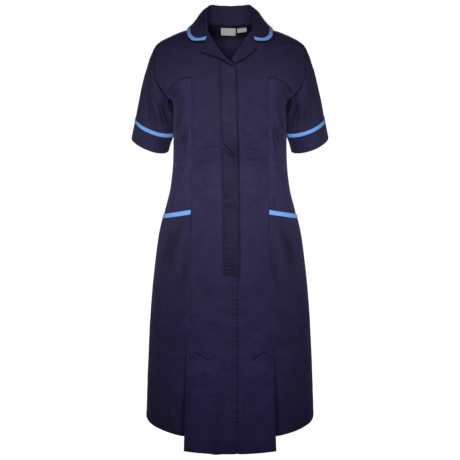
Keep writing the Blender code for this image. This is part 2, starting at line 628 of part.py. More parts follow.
def collar_grid():
    """The collar's face: up the stand inside the neck, over the fold, and down the leaf."""
    rows = []
    for station in COLLAR:
        seam, seam_normal = form_points(station.seam_x, station.seam_z, station.seam_side)
        seam = seam - COLLAR_INSET * seam_normal * np.array([1, 1, 0]) / np.linalg.norm(seam_normal[:2])
        edge, edge_normal = form_points(station.edge_x, station.edge_z, station.edge_side)
        edge = edge + edge_normal * (GAP + COLLAR_PLY + COLLAR_LIE)
        fold = np.array([station.fold_x, station.fold_y, station.fold_z])
        outward = np.array([edge[0] - seam[0], edge[1] - seam[1], 0])
        outward /= np.linalg.norm(outward)
        down = np.array([0, 0, COLLAR_TURN])
        fold_in, fold_out = fold - outward * COLLAR_TURN - down, fold + outward * COLLAR_TURN - down
        leaf = edge - fold_out
        puff = edge_normal + np.array([0, 0, BULGE_UP])
        puff /= np.linalg.norm(puff)
        tape_at = 1 - TAPE_WIDTH / np.linalg.norm(leaf)
        row = [seam, seam + (fold_in - seam) * STAND_MIDDLE, fold_in, fold, fold_out]
        bulge = COLLAR_BULGE * BULGE_SCALE * np.linalg.norm(leaf) * puff
        row += [fold_out + leaf * t + bulge * t * (1 - t) ** 2 for t in (LEAF_MIDDLE, tape_at, 1)]
        rows.append(row)
    half = np.array(rows)
    return np.concatenate([half[:0:-1] * np.array([-1, 1, 1]), half])


def collar_pieces(cloth_material, tape_material):
    grid = collar_grid()
    normal = grid_normals(grid, False)
    if normal[len(grid) // 2, -1, 1] < 0:
        normal = -normal
    cloth("collar", [(grid, normal)], COLLAR_PLY, cloth_material)

    # The tape follows the leaf's outer edge and keeps one width all round
    tape, face = grid[:, -2:], normal[:, -2:]
    cloth("collar_trim", [(tape + face * (LIFT + TRIM_PLY), face)], TRIM_PLY, tape_material)


def lapel(name, roll, low, out_edge, sign, material):
    left = spread(roll, LAPEL_ROWS)
    right = spread(out_edge, LAPEL_ROWS)
    top = spread([roll[0], out_edge[0]], LAPEL_COLUMNS)
    bottom = spread(low, LAPEL_COLUMNS)
    rows_at = np.linspace(0, 1, LAPEL_ROWS + 1)
    places = coons(top, bottom, left, right, rows_at)
    across = np.linspace(0, 1, LAPEL_COLUMNS + 1)[None, :]
    puff = LAPEL_PUFF * np.sin(math.pi * across) * (1 - LAPEL_PUFF_LOST * rows_at[:, None])
    out = LIFT + COLLAR_PLY + puff
    cloth(name, [patch(places, FRONT, sign, out)], COLLAR_PLY, material)


def placket(material):
    shared = band_rows()
    rows = np.concatenate([[PLACKET_TOP_Z], shared[(shared < PLACKET_TOP_Z) & (shared >= PLACKET_BOTTOM_Z)]])
    edge = read_table(FRONT_EDGE, rows, "right") + PLACKET_OVER
    x = edge[:, None] - PLACKET_WIDTH * np.linspace(1, 0, PLACKET_COLUMNS + 1)
    places = np.stack([x, np.repeat(rows[:, None], PLACKET_COLUMNS + 1, 1)], -1)
    cloth("placket", [patch(places, FRONT, 1, LIFT + PLACKET_PLY)], PLACKET_PLY, material)


def label(name, size, material):
    x = np.linspace(size.left, size.right, LABEL_COLUMNS + 1)[None, :]
    z = np.linspace(size.top, size.bottom, LABEL_ROWS + 1)[:, None]
    places = np.stack(np.broadcast_arrays(x, z), -1)
    cloth(name, [patch(places, BACK, 1, -(PLY + size.lift))], LABEL_PLY, material)


def main():
    for old in list(bpy.data.objects):
        bpy.data.objects.remove(old)
    navy = make_material("navy_polycotton", (0.026, 0.020, 0.060), 0.78)
    blue = make_material("light_blue_tape", (0.150, 0.340, 0.740), 0.70)
    white = make_material("white_woven_label", (0.550, 0.560, 0.580), 0.80)

    front_panel("front_right", lambda z: -read_table(FRONT_EDGE, z, "right") + GAP / 2, -1, navy)
    front_panel("front_left", lambda z: read_table(FRONT_EDGE, z, "left") + GAP / 2, 1, navy)
    back_panel("back", navy)
    for side_name, sign in (("right", -1), ("left", 1)):
        side_front_panel(f"side_front_{side_name}", sign, navy)
        sleeve_pieces(side_name, sign, navy, blue)
        side_skirt_pieces(side_name, sign, navy, blue)
    placket(navy)
    collar_pieces(navy, blue)
    lapel("lapel_right", LAPEL_RIGHT_ROLL, LAPEL_RIGHT_LOW, LAPEL_RIGHT_OUT, -1, navy)
    lapel("lapel_left", LAPEL_LEFT_ROLL, LAPEL_LEFT_LOW, LAPEL_LEFT_OUT, 1, navy)
    label("neck_label", NECK_LABEL, white)
    label("size_tab", SIZE_TAB, white)


main()
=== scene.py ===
# %% [markdown]
# # A nurse's uniform dress
#
# The dress is filled out as it is worn and hollow inside: navy polyester and cotton twill, bound in
# light blue tape at the collar, the cuffs and the pocket mouths. Its solids give the size and the
# cut. Here every cut piece is sewn again as a thin cloth shell on the same form, with the seams,
# hems, stitches and creases that make cloth read as cloth.

# %% Open the frame
import math
from collections import namedtuple

import bpy
import numpy as np
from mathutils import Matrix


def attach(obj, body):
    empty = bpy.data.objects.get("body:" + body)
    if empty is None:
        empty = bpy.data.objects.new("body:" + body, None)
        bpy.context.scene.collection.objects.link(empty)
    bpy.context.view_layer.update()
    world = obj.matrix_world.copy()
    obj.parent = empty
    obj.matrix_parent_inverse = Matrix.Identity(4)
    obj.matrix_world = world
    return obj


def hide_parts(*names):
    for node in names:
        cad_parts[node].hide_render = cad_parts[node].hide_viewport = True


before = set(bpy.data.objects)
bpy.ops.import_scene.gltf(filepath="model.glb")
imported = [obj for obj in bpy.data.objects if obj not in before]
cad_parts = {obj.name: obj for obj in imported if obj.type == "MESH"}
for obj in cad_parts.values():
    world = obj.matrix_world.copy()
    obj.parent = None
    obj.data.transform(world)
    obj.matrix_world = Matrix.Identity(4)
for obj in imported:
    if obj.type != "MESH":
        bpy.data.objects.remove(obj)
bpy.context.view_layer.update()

# %% [markdown]
# ## Camera
#
# The photograph was taken from in front and a little above the collar, looking slightly down, with
# a long lens. A long lens is what keeps the two side hems level with each other and the skirt from
# swelling, so it is set as a narrow angle from 3.5 m away rather than a wide one from close by.

# %% Place the camera
CAMERA_AWAY = 3.5
CAMERA_ABOVE_NECK = 0.30
CAMERA_PITCH = math.radians(13.67)  # looking down by this much
LENS_MM = 104.5
SENSOR_MM = 36

scene = bpy.context.scene
lens = bpy.data.cameras.new("studio_camera")
lens.lens = LENS_MM
lens.sensor_width = SENSOR_MM
camera = bpy.data.objects.new("studio_camera", lens)
camera.location = (0, -CAMERA_AWAY, CAMERA_ABOVE_NECK)
camera.rotation_euler = (math.pi / 2 - CAMERA_PITCH, 0, 0)
scene.collection.objects.link(camera)
scene.camera = camera
scene.view_settings.view_transform = "Standard"
print("camera", tuple(round(v, 2) for v in camera.location), "lens", LENS_MM, "mm")

# %% [markdown]
# ## Light
#
# A studio lights dark cloth with large soft boxes. The main one stands in front, a little above the
# shoulders, so that collar and lapels throw short shadows downwards. A grid narrows its beam, and it
# is aimed at the waist, so the light fades towards the yoke, the sleeves and the skirt. A lower,
# bluer one fills the skirt, and a small one at each side lifts the waist only. Three more, at the
# sides and behind, are for the other views:
# they stand so far round that the front gets almost nothing from them. A faint light from all round
# keeps the shadows open.

# %% Lights
AIR_LIGHT = 0.055


def soft_box(name, place, aim, width, height, power, spread, colour=(1, 1, 1)):
    """A rectangular light at a place, turned so that its face looks at aim."""
    data = bpy.data.lights.new(name, "AREA")
    data.shape = "RECTANGLE"
    data.size, data.size_y = width, height
    data.energy = power
    data.spread = math.radians(spread)
    data.color = colour
    box = bpy.data.objects.new(name, data)
    box.location = place
    towards = [a - p for a, p in zip(aim, place)]
    flat = math.hypot(towards[0], towards[1])
    box.rotation_euler = (math.atan2(flat, -towards[2]), 0, math.atan2(-towards[0], towards[1]))
    scene.collection.objects.link(box)
    return box


soft_box("front_light", (-0.06, -1.45, 0.05), (0, 0, -0.34), 0.50, 0.36, 2.20, 53)
soft_box("low_light", (0.04, -1.45, -0.95), (0, 0, -0.90), 0.40, 0.30, 0.76, 48, (0.80, 0.72, 1.0))
for side_name, sign in (("right", -1), ("left", 1)):
    soft_box(f"waist_light_{side_name}", (1.15 * sign, -0.75, -0.52), (0.12 * sign, 0, -0.42), 0.25, 0.22, 0.16, 28)
    soft_box(f"side_light_{side_name}", (1.40 * sign, 0.15, -0.45), (0, 0, -0.60), 0.5, 0.6, 0.6, 80)
soft_box("back_light", (0.06, 1.45, 0.08), (0, 0, -0.55), 0.60, 0.50, 4.0, 80)

world = bpy.data.worlds.new("studio_air")
world.use_nodes = True
world.node_tree.nodes["Background"].inputs["Color"].default_value = (1, 1, 1, 1)
world.node_tree.nodes["Background"].inputs["Strength"].default_value = AIR_LIGHT
scene.world = world

# %% [markdown]
# ## Colours and nodes
#
# Colours are read as the sRGB values that a screen shows and turned to the linear light that the
# renderer adds up. One helper adds a node, sets what it is given and links its inputs.

# %% Helpers for colours and nodes


def linear(hex_colour):
    """An sRGB hex colour as linear red, green, blue and 1: below 0.04045 a straight line, above it a power."""
    values = [int(hex_colour[k : k + 2], 16) / 255 for k in (1, 3, 5)]
    return [v / 12.92 if v <= 0.04045 else ((v + 0.055) / 1.055) ** 2.4 for v in values] + [1.0]


def add_node(tree, kind, inputs=None, **settings):
    """A new node with its settings; inputs are values, or outputs of other nodes to link from."""
    node = tree.nodes.new(kind)
    for name, value in settings.items():
        setattr(node, name, value)
    for name, value in (inputs or {}).items():
        if isinstance(value, bpy.types.NodeSocket):
            tree.links.new(value, node.inputs[name])
        else:
            node.inputs[name].default_value = value
    return node


def new_material(name):
    """An empty node material with its output, ready for a shader."""
    material = bpy.data.materials.new(name)
    material.use_nodes = True
    material.node_tree.nodes.clear()
    return material, material.node_tree


# %% [markdown]
# ## The studio floor
#
# The floor is a wide white board that bends up into a wall all round, so that there is no line
# behind the dress from any side. It is lit through, like a light table, to stay white behind dark
# cloth. So much light from below would lift the hem, which a studio stops with black flags out of
# view. Here the board is kept out of the light that the cloth gathers instead.

# %% Floor
FLOOR_Z = -1.45  # where the wearer's feet would be
FLOOR_RADIUS, SWEEP_RADIUS, WALL_TOP = 8.0, 2.5, 7.0


def make_floor():
    """A flat run, a quarter circle and an upright run in radius and z, turned once round the z axis."""
    bend = np.linspace(0, math.pi / 2, 13)
    radius = np.concatenate([[0.0], FLOOR_RADIUS - SWEEP_RADIUS * (1 - np.sin(bend)), [FLOOR_RADIUS]])
    z = np.concatenate([[FLOOR_Z], FLOOR_Z + SWEEP_RADIUS * (1 - np.cos(bend)), [WALL_TOP]])
    turn = np.linspace(0, 2 * math.pi, 49)[:, None]
    points = np.stack(np.broadcast_arrays(radius * np.cos(turn), radius * np.sin(turn), z), -1)
    number = np.arange(points.size // 3).reshape(points.shape[:2])
    quads = np.stack([number[:-1, :-1], number[:-1, 1:], number[1:, 1:], number[1:, :-1]], -1)
    mesh = bpy.data.meshes.new("studio_floor")
    mesh.from_pydata(points.reshape(-1, 3).tolist(), [], quads.reshape(-1, 4).tolist())
    mesh.shade_smooth()
    material, tree = new_material("lit_white_acrylic_board")
    shader = add_node(tree, "ShaderNodeBsdfPrincipled",
                      {"Base Color": linear("#f6f6f6"), "Roughness": 0.9, "Emission Color": linear("#ffffff"),
                       "Emission Strength": 1.0})
    add_node(tree, "ShaderNodeOutputMaterial", {"Surface": shader.outputs["BSDF"]})
    mesh.materials.append(material)
    floor = bpy.data.objects.new("studio_floor", mesh)
    floor.visible_diffuse = False
    floor.visible_glossy = False
    scene.collection.objects.link(floor)
    return floor


make_floor()

# %% [markdown]
# ## Navy twill
#
# The cloth is a polyester and cotton twill of about 200 grams a square metre, dyed navy. Twill
# threads pass over two and under one, a step further each row, so fine ribs run across at a slant.
# A weave this dark gives the eye three things: almost no shine from the front, a faint blue bloom
# where it turns away, which is light caught by short fibres, and a slightly uneven dye. The troughs of
# seams and creases are painted darker, as shade, and their ridges painted lighter, as highlight.
# Each point of the cloth keeps a number for that, from -1 in a trough to 1 on a ridge.
# The ribs are really 0.6 mm apart; they are drawn 1.1 mm apart, as finer ones vanish between pixels.

# %% Navy twill material
RIB_SPACING = 0.0011
WAVE_PERIOD = 2 * math.pi / 20 * math.sqrt(2)  # a diagonal wave texture's own rib spacing at scale 1
SLUB_SIZE = 0.0022
DYE_PATCH = 0.045
# painted shade in troughs down to this share of the colour, painted highlight on ridges up to that
PAINTED_TROUGH_SHADE, PAINTED_RIDGE_HIGHLIGHT = 0.16, 1.60  # around 1, which is the cloth where it lies smooth


def navy_twill(name, dark, light):
    """Twill ribs and slubs on the piece's own cloth map, a soft mottle in the dye, and painted shade in troughs with
    painted highlight on ridges.
    """
    material, tree = new_material(name)
    cloth_map = add_node(tree, "ShaderNodeUVMap", uv_map="cloth")
    place = cloth_map.outputs["UV"]
    ribs = add_node(tree, "ShaderNodeTexWave", {"Vector": place, "Scale": WAVE_PERIOD / RIB_SPACING,
                                                "Distortion": 0.6, "Detail": 1.0, "Detail Scale": 0.3},
                    wave_type="BANDS", bands_direction="DIAGONAL")
    slubs = add_node(tree, "ShaderNodeTexNoise", {"Vector": place, "Scale": 1 / SLUB_SIZE, "Detail": 3.0,
                                                  "Roughness": 0.6})
    dye = add_node(tree, "ShaderNodeTexNoise", {"Vector": place, "Scale": 1 / DYE_PATCH, "Detail": 4.0,
                                                "Roughness": 0.65})
    shade = add_node(tree, "ShaderNodeMix", {"A": dye.outputs["Fac"], "B": slubs.outputs["Fac"], "Factor": 0.45},
                     data_type="FLOAT")
    ramp = add_node(tree, "ShaderNodeMapRange", {"Value": shade.outputs["Result"], "From Min": 0.3, "From Max": 0.7})
    colour = add_node(tree, "ShaderNodeMix", {"Factor": ramp.outputs["Result"]}, data_type="RGBA")
    colour.inputs["A"].default_value = linear(dark)
    colour.inputs["B"].default_value = linear(light)
    # painted shade in troughs and painted highlight on ridges, read from each point
    rub = add_node(tree, "ShaderNodeAttribute", attribute_name="rub").outputs["Fac"]
    tone = add_node(tree, "ShaderNodeMapRange", {"Value": rub, "From Min": -1.0, "From Max": 1.0,
                                                 "To Min": PAINTED_TROUGH_SHADE, "To Max": PAINTED_RIDGE_HIGHLIGHT})
    painted_light = add_node(tree, "ShaderNodeVectorMath", {0: colour.outputs["Result"], "Scale": tone.outputs["Result"]},
                    operation="SCALE")
    height = add_node(tree, "ShaderNodeMath", {0: ribs.outputs["Fac"], 1: slubs.outputs["Fac"]}, operation="ADD")
    bump = add_node(tree, "ShaderNodeBump", {"Height": height.outputs["Value"], "Strength": 0.35,
                                             "Distance": 0.00012})
    shader = add_node(tree, "ShaderNodeBsdfPrincipled",
                      {"Base Color": painted_light.outputs["Vector"], "Normal": bump.outputs["Normal"],
                       "Roughness": 0.82, "IOR": 1.45, "Specular IOR Level": 0.24, "Sheen Weight": 0.18,
                       "Sheen Roughness": 0.42, "Sheen Tint": linear("#8c86c8")})
    add_node(tree, "ShaderNodeOutputMaterial", {"Surface": shader.outputs["BSDF"]})
    return material


NAVY = navy_twill("navy_polycotton_twill", "#1a1632", "#302a4d")

# %% [markdown]
# ## Blue tape, labels and thread
#
# The contrast binding is a polyester and cotton tape with a plain weave: brighter, a little
# smoother, and its cross threads show as fine rungs. The labels are woven satin, so they shine
# more than the cloth does. They are left blank. The sewing thread is spun polyester with a twist.

# %% Tape, label and thread materials
TAPE_RUNG = 0.0010
STRAIGHT_WAVE = 2 * math.pi / 20  # a straight wave texture's rib spacing at scale 1


def woven_tape(name, dark, light, rung, roughness, sheen, level):
    """A plain weave: fine rungs across the band, and a slight mottle."""
    material, tree = new_material(name)
    place = add_node(tree, "ShaderNodeUVMap", uv_map="cloth").outputs["UV"]
    rungs = add_node(tree, "ShaderNodeTexWave", {"Vector": place, "Scale": STRAIGHT_WAVE / rung,
                                                 "Distortion": 0.8, "Detail": 1.0},
                     wave_type="BANDS", bands_direction="X")
    mottle = add_node(tree, "ShaderNodeTexNoise", {"Vector": place, "Scale": 1 / 0.004, "Detail": 3.0})
    colour = add_node(tree, "ShaderNodeMix", {"Factor": mottle.outputs["Fac"]}, data_type="RGBA")
    colour.inputs["A"].default_value = linear(dark)
    colour.inputs["B"].default_value = linear(light)
    bump = add_node(tree, "ShaderNodeBump", {"Height": rungs.outputs["Fac"], "Strength": 0.4, "Distance": 0.0001})
    shader = add_node(tree, "ShaderNodeBsdfPrincipled",
                      {"Base Color": colour.outputs["Result"], "Normal": bump.outputs["Normal"],
                       "Roughness": roughness, "IOR": 1.46, "Specular IOR Level": level, "Sheen Weight": sheen,
                       "Sheen Roughness": 0.5})
    add_node(tree, "ShaderNodeOutputMaterial", {"Surface": shader.outputs["BSDF"]})
    return material


BLUE = woven_tape("light_blue_polycotton_tape", "#5f93dc", "#77aceb", TAPE_RUNG, 0.72, 0.10, 0.3)
WHITE = woven_tape("white_woven_satin", "#b3b5b6", "#cdcfd0", 0.0008, 0.45, 0.05, 0.4)
NAVY_THREAD = woven_tape("navy_spun_polyester_thread", "#1b1836", "#282349", 0.0006, 0.75, 0.0, 0.25)
BLUE_THREAD = woven_tape("blue_spun_polyester_thread", "#4f86cf", "#5f95dd", 0.0006, 0.55, 0.1, 0.4)

# %% [markdown]
# ## The form
#
# On the stand, the dress is one smooth hollow shape, and every panel is a stretch of it. The form
# is a stack of rounded ovals: at each height it has a half width, a depth in front, a depth behind
# and a squareness. A place on it is written as (x, z), seen from the front or from behind, and is
# pushed out along the surface to make folds, hems and layers. The tables are the dress's own sizes
# in metres, measured down from the neck points.

# %% Sizes of the form
FRONT, BACK = -1, 1
HEM_Z = -1.087
HEM_RISE = 0.0095
HEM_LEVEL_SHARE = 0.25
FRONT_HEM_Z = -1.1215
FRONT_HEM_SAG = 0.005
UNDERARM_Z = -0.198
SHOULDER_Z = -0.058
NAPE_Z = -0.013
CORNER_Z = -0.127
PLEAT_Z = -0.830
NECK_X = 0.0745
GAP = 0.0003

Section = namedtuple("Section", "z half_width front back roundness")
FORM = [
    Section(0.0000, 0.0745, 0.034, 0.066, 2.25),
    Section(-0.0110, 0.0965, 0.044, 0.077, 2.25),
    Section(-0.0240, 0.1350, 0.054, 0.083, 2.25),
    Section(-0.0350, 0.1598, 0.061, 0.088, 2.25),
    Section(-0.0450, 0.1795, 0.066, 0.091, 2.25),
    Section(-0.0580, 0.1948, 0.074, 0.095, 2.25),
    Section(-0.0860, 0.2096, 0.087, 0.101, 2.25),
    Section(-0.1280, 0.2225, 0.103, 0.106, 2.25),
    Section(-0.1655, 0.1953, 0.116, 0.108, 2.45),
    Section(-0.1810, 0.1725, 0.120, 0.108, 2.60),
    Section(-0.1980, 0.1500, 0.124, 0.108, 2.80),
    Section(-0.2250, 0.1477, 0.129, 0.105, 2.95),
    Section(-0.2600, 0.1488, 0.132, 0.100, 2.90),
    Section(-0.3000, 0.1492, 0.125, 0.093, 2.70),
    Section(-0.3600, 0.1508, 0.113, 0.086, 2.45),
    Section(-0.4300, 0.1583, 0.115, 0.102, 2.30),
    Section(-0.5000, 0.1754, 0.122, 0.122, 2.25),
    Section(-0.5600, 0.1903, 0.128, 0.133, 2.25),
    Section(-0.6400, 0.2027, 0.136, 0.138, 2.25),
    Section(-0.7700, 0.2161, 0.148, 0.146, 2.25),
    Section(-0.9200, 0.2254, 0.160, 0.157, 2.25),
    Section(-1.1300, 0.2348, 0.174, 0.172, 2.25),
]

Armhole = namedtuple("Armhole", "z front back")
ARMHOLE = [
    Armhole(-0.058, 0.1948, 0.1948),
    Armhole(-0.072, 0.1945, 0.1925),
    Armhole(-0.086, 0.1950, 0.1905),
    Armhole(-0.107, 0.1960, 0.1880),
    Armhole(-0.128, 0.1950, 0.1850),
    Armhole(-0.150, 0.1868, 0.1780),
    Armhole(-0.1655, 0.1785, 0.1700),
    Armhole(-0.181, 0.1660, 0.1610),
    Armhole(-0.190, 0.1580, 0.1555),
    Armhole(-0.198, 0.1500, 0.1500),
]

PanelEdge = namedtuple("PanelEdge", "z x")
PANEL_EDGE = [
    PanelEdge(-0.127, 0.0974),
    PanelEdge(-0.300, 0.0985),
    PanelEdge(-0.470, 0.1018),
    PanelEdge(-0.700, 0.1035),
    PanelEdge(-0.785, 0.1050),
    PanelEdge(-0.830, 0.1110),
    PanelEdge(-1.122, 0.1192),
]

Place = namedtuple("Place", "x z")
TOP_SEAM = [Place(0.0974, -0.1270), Place(0.1110, -0.1268), Place(0.1230, -0.1285), Place(0.1345, -0.1360),
            Place(0.1450, -0.1470), Place(0.1570, -0.1620), Place(0.1685, -0.1775)]

FrontEdge = namedtuple("FrontEdge", "z right left")
FRONT_EDGE = [
    FrontEdge(0.000, -0.0745, 0.0745),
    FrontEdge(-0.010, -0.0605, 0.0570),
    FrontEdge(-0.022, -0.0520, 0.0455),
    FrontEdge(-0.041, -0.0392, 0.0322),
    FrontEdge(-0.057, -0.0276, 0.0212),
    FrontEdge(-0.076, -0.0135, 0.0080),
    FrontEdge(-0.086, -0.0020, 0.0010),
    FrontEdge(-0.094, 0.0105, 0.0105),
    FrontEdge(-0.114, 0.0112, 0.0112),
    FrontEdge(-0.641, 0.0204, 0.0204),
    FrontEdge(-1.130, 0.0204, 0.0204),
]

Station = namedtuple("Station", "seam_side seam_x seam_z fold_x fold_y fold_z edge_side edge_x edge_z")
COLLAR = [
    Station(BACK, 0.0000, -0.0130, 0.0000, 0.0720, 0.0415, BACK, 0.0000, -0.0300),
    Station(BACK, 0.0186, -0.0122, 0.0180, 0.0712, 0.0420, BACK, 0.0290, -0.0300),
    Station(BACK, 0.0372, -0.0097, 0.0355, 0.0675, 0.0435, BACK, 0.0570, -0.0298),
    Station(BACK, 0.0559, -0.0057, 0.0510, 0.0570, 0.0450, BACK, 0.0850, -0.0280),
    Station(BACK, 0.0670, -0.0024, 0.0570, 0.0400, 0.0410, BACK, 0.1020, -0.0235),
    Station(BACK, 0.0720, -0.0008, 0.0585, 0.0230, 0.0325, BACK, 0.1078, -0.0185),
    Station(BACK, 0.0745, 0.0000, 0.0592, 0.0080, 0.0225, BACK, 0.1100, -0.0158),
    Station(FRONT, 0.0713, -0.0040, 0.0590, -0.0120, 0.0085, FRONT, 0.1100, -0.0195),
    Station(FRONT, 0.0669, -0.0095, 0.0585, -0.0290, -0.0040, FRONT, 0.1060, -0.0320),
    Station(FRONT, 0.0629, -0.0150, 0.0580, -0.0400, -0.0120, FRONT, 0.0950, -0.0385),
    Station(FRONT, 0.0604, -0.0185, 0.0573, -0.0470, -0.0165, FRONT, 0.0800, -0.0392),
    Station(FRONT, 0.0580, -0.0210, 0.0562, -0.0525, -0.0195, FRONT, 0.0640, -0.0376),
]

LAPEL_RIGHT_ROLL = [Place(0.0565, -0.0150), Place(0.0392, -0.0410), Place(0.0276, -0.0570),
                    Place(0.0135, -0.0760), Place(0.0020, -0.0860), Place(-0.0080, -0.0915)]
LAPEL_RIGHT_LOW = [Place(-0.0080, -0.0915), Place(-0.0060, -0.0965), Place(0.0247, -0.0800),
                   Place(0.0736, -0.0641)]
LAPEL_RIGHT_OUT = [Place(0.0632, -0.0385), Place(0.0736, -0.0641)]
LAPEL_LEFT_ROLL = [Place(0.0520, -0.0150), Place(0.0322, -0.0410), Place(0.0212, -0.0570),
                   Place(0.0080, -0.0760), Place(0.0035, -0.0815)]
LAPEL_LEFT_LOW = [Place(0.0035, -0.0815), Place(0.0110, -0.0905), Place(0.0364, -0.0810),
                  Place(0.0664, -0.0572)]
LAPEL_LEFT_OUT = [Place(0.0632, -0.0385), Place(0.0664, -0.0572)]

# %% Places on the form


def read_table(rows, height, name):
    """A table's column at any height, by cubic steps whose slopes keep the curve inside its rows."""
    rows = sorted(rows, key=lambda row: row.z)
    z = np.array([row.z for row in rows])
    value = np.array([getattr(row, name) for row in rows])
    step = np.diff(z)
    slope = np.diff(value) / step
    tangent = np.zeros(len(z))
    for k in range(1, len(z) - 1):
        if slope[k - 1] * slope[k] > 0:
            w1 = 2 * step[k] + step[k - 1]
            w2 = step[k] + 2 * step[k - 1]
            tangent[k] = (w1 + w2) / (w1 / slope[k - 1] + w2 / slope[k])
    tangent[0], tangent[-1] = slope[0], slope[-1]
    height = np.clip(np.asarray(height, float), z[0], z[-1])
    k = np.clip(np.searchsorted(z, height, side="right") - 1, 0, len(z) - 2)
    t = (height - z[k]) / step[k]
    start = (1 + 2 * t) * (1 - t) ** 2 * value[k] + t * (1 - t) ** 2 * step[k] * tangent[k]
    end = t * t * (3 - 2 * t) * value[k + 1] + t * t * (t - 1) * step[k] * tangent[k + 1]
    return start + end


def depth_of(z, side):
    return read_table(FORM, z, "front" if side == FRONT else "back")


def form_level(x, y, z, side):
    """|x / half width| and |y / depth|, each to the power of the roundness, added: 1 on the form."""
    roundness = read_table(FORM, z, "roundness")
    across = (np.abs(x) / read_table(FORM, z, "half_width")) ** roundness
    return across + (np.abs(y) / depth_of(z, side)) ** roundness


NORMAL_STEP = 1e-5


def form_points(x, z, side):
    """Points where the form's level is 1, and normals along the steepest way out of it."""
    x, z = np.broadcast_arrays(np.asarray(x, float), np.asarray(z, float))
    roundness = read_table(FORM, z, "roundness")
    share = np.clip(np.abs(x) / read_table(FORM, z, "half_width"), 0, 1)
    y = side * (1 - share**roundness) ** (1 / roundness) * depth_of(z, side)
    place = np.array([x, y, z])
    normal = np.zeros_like(place)
    for axis in range(3):
        step = np.zeros((3,) + (1,) * x.ndim)
        step[axis] = NORMAL_STEP
        normal[axis] = form_level(*(place + step), side) - form_level(*(place - step), side)
    normal = np.moveaxis(normal / np.linalg.norm(normal, axis=0), 0, -1)
    return np.moveaxis(place, 0, -1), normal


def ring_x(z, share):
    """x at a share of the way from the middle to the side seam, evenly round the oval."""
    power = 2 / read_table(FORM, z, "roundness")
    return read_table(FORM, z, "half_width") * np.sin(np.asarray(share) * math.pi / 2) ** power


def ring_share(x, z):
    ratio = np.clip(np.abs(x) / read_table(FORM, z, "half_width"), 0, 1)
    return np.sign(x) * np.arcsin(ratio ** (read_table(FORM, z, "roundness") / 2)) / (math.pi / 2)


def ring_place(z, share):
    return np.sign(share) * ring_x(z, np.abs(share))


def rise_smoothly(t):
    t = np.clip(t, 0, 1)
    return t * t * (3 - 2 * t)


# %% [markdown]
# ## Creases
#
# Cloth over a form is never quite smooth. The creases are placed where the photograph shows
# them and where such cloth gathers on the sides that it doesn't show. Each one is a soft trough with
# a low ridge on either side, running from one place to another, a little bowed, and fading at its
# ends. They are moved into the surface itself, so they catch the light and show from any side.

# %% How a crease is made
Fold = namedtuple("Fold", "a1 b1 a2 b2 bow width depth")
RIDGE_SHARE = 0.55


def fold_relief(a, b, folds):
    """Sum over the folds of depth, times a bell curve of the distance, less a ridge, times a fade."""
    total = np.zeros(np.broadcast(a, b).shape)
    for fold in folds:
        length = math.hypot(fold.a2 - fold.a1, fold.b2 - fold.b1)
        ua, ub = (fold.a2 - fold.a1) / length, (fold.b2 - fold.b1) / length
        t = ((a - fold.a1) * ua + (b - fold.b1) * ub) / length
        off = (b - fold.b1) * ua - (a - fold.a1) * ub - fold.bow * 4 * t * (1 - t)
        near = (off / fold.width) ** 2
        fade = np.clip(1 - (2 * t - 1) ** 2, 0, 1) ** 1.5
        total += fold.depth * fade * (1 - RIDGE_SHARE * near) * np.exp(-near)
    return total


def mirrored(folds, shift, seed):
    """The same folds on the other side, each moved by up to shift and a little deeper or shallower."""
    draw = np.random.default_rng(seed)
    made = list(folds)
    for fold in folds:
        da, db, deeper = draw.uniform(-shift, shift), draw.uniform(-shift, shift), draw.uniform(0.85, 1.15)
        made.append(Fold(-fold.a1 + da, fold.b1 + db, -fold.a2 + da, fold.b2 + db, -fold.bow, fold.width,
                         fold.depth * deeper))
    return made


def uneven(a, b, seed, waves, longest, shortest, steepness, fan=math.pi / 2):
    """A gentle unevenness: sine waves whose crests lie within a fan of level, each as high as it is
    long times steepness."""
    draw = np.random.default_rng(seed)
    total = np.zeros(np.broadcast(a, b).shape)
    for _ in range(waves):
        length = math.exp(draw.uniform(math.log(shortest), math.log(longest)))
        turn, phase = math.pi / 2 + draw.uniform(-fan, fan), draw.uniform(0, 2 * math.pi)
        total += length * steepness * np.sin(2 * math.pi / length * (a * math.cos(turn) + b * math.sin(turn)) + phase)
    return total


# %% Where the creases are, in front
UNDER_BUST_FOLDS = [
    Fold(0.1225, -0.2140, 0.1375, -0.2760, 0.0020, 0.0030, -0.0034),
    Fold(0.1140, -0.2340, 0.1275, -0.3060, -0.0022, 0.0030, -0.0034),
    Fold(0.1050, -0.2440, 0.1180, -0.3340, 0.0024, 0.0032, -0.0030),
    Fold(0.1310, -0.2650, 0.1370, -0.3250, 0.0010, 0.0026, -0.0020),
    Fold(0.1340, -0.2250, 0.1400, -0.2550, 0.0010, 0.0024, -0.0018),
    Fold(0.1040, -0.3461, 0.1420, -0.3521, 0.0010, 0.0028, -0.0020),
    Fold(0.1070, -0.3590, 0.1360, -0.3640, -0.0010, 0.0026, -0.0018),
    Fold(0.1100, -0.3720, 0.1330, -0.3745, 0.0005, 0.0028, -0.0014),
    Fold(0.1396, -0.1394, 0.1620, -0.1740, 0.0020, 0.0046, -0.0030),
    Fold(0.1230, -0.1500, 0.1520, -0.1860, 0.0030, 0.0055, -0.0012),
]
WAIST_FOLDS = [
    Fold(0.0260, -0.3050, 0.0900, -0.3200, 0.0040, 0.0050, -0.0012),
    Fold(0.0300, -0.3300, 0.0860, -0.3400, -0.0030, 0.0050, -0.0012),
    Fold(0.0260, -0.2650, 0.0600, -0.2800, 0.0030, 0.0050, -0.0008),
]
HIP_FOLDS = [
    Fold(0.1180, -0.4900, 0.1660, -0.6500, 0.0060, 0.0120, -0.0017),
    Fold(0.1080, -0.5400, 0.1330, -0.7200, -0.0050, 0.0110, -0.0012),
    Fold(0.1450, -0.5300, 0.1750, -0.6600, 0.0030, 0.0070, -0.0014),
    Fold(0.1120, -0.4350, 0.1190, -0.4720, 0.0000, 0.0040, -0.0016),
]
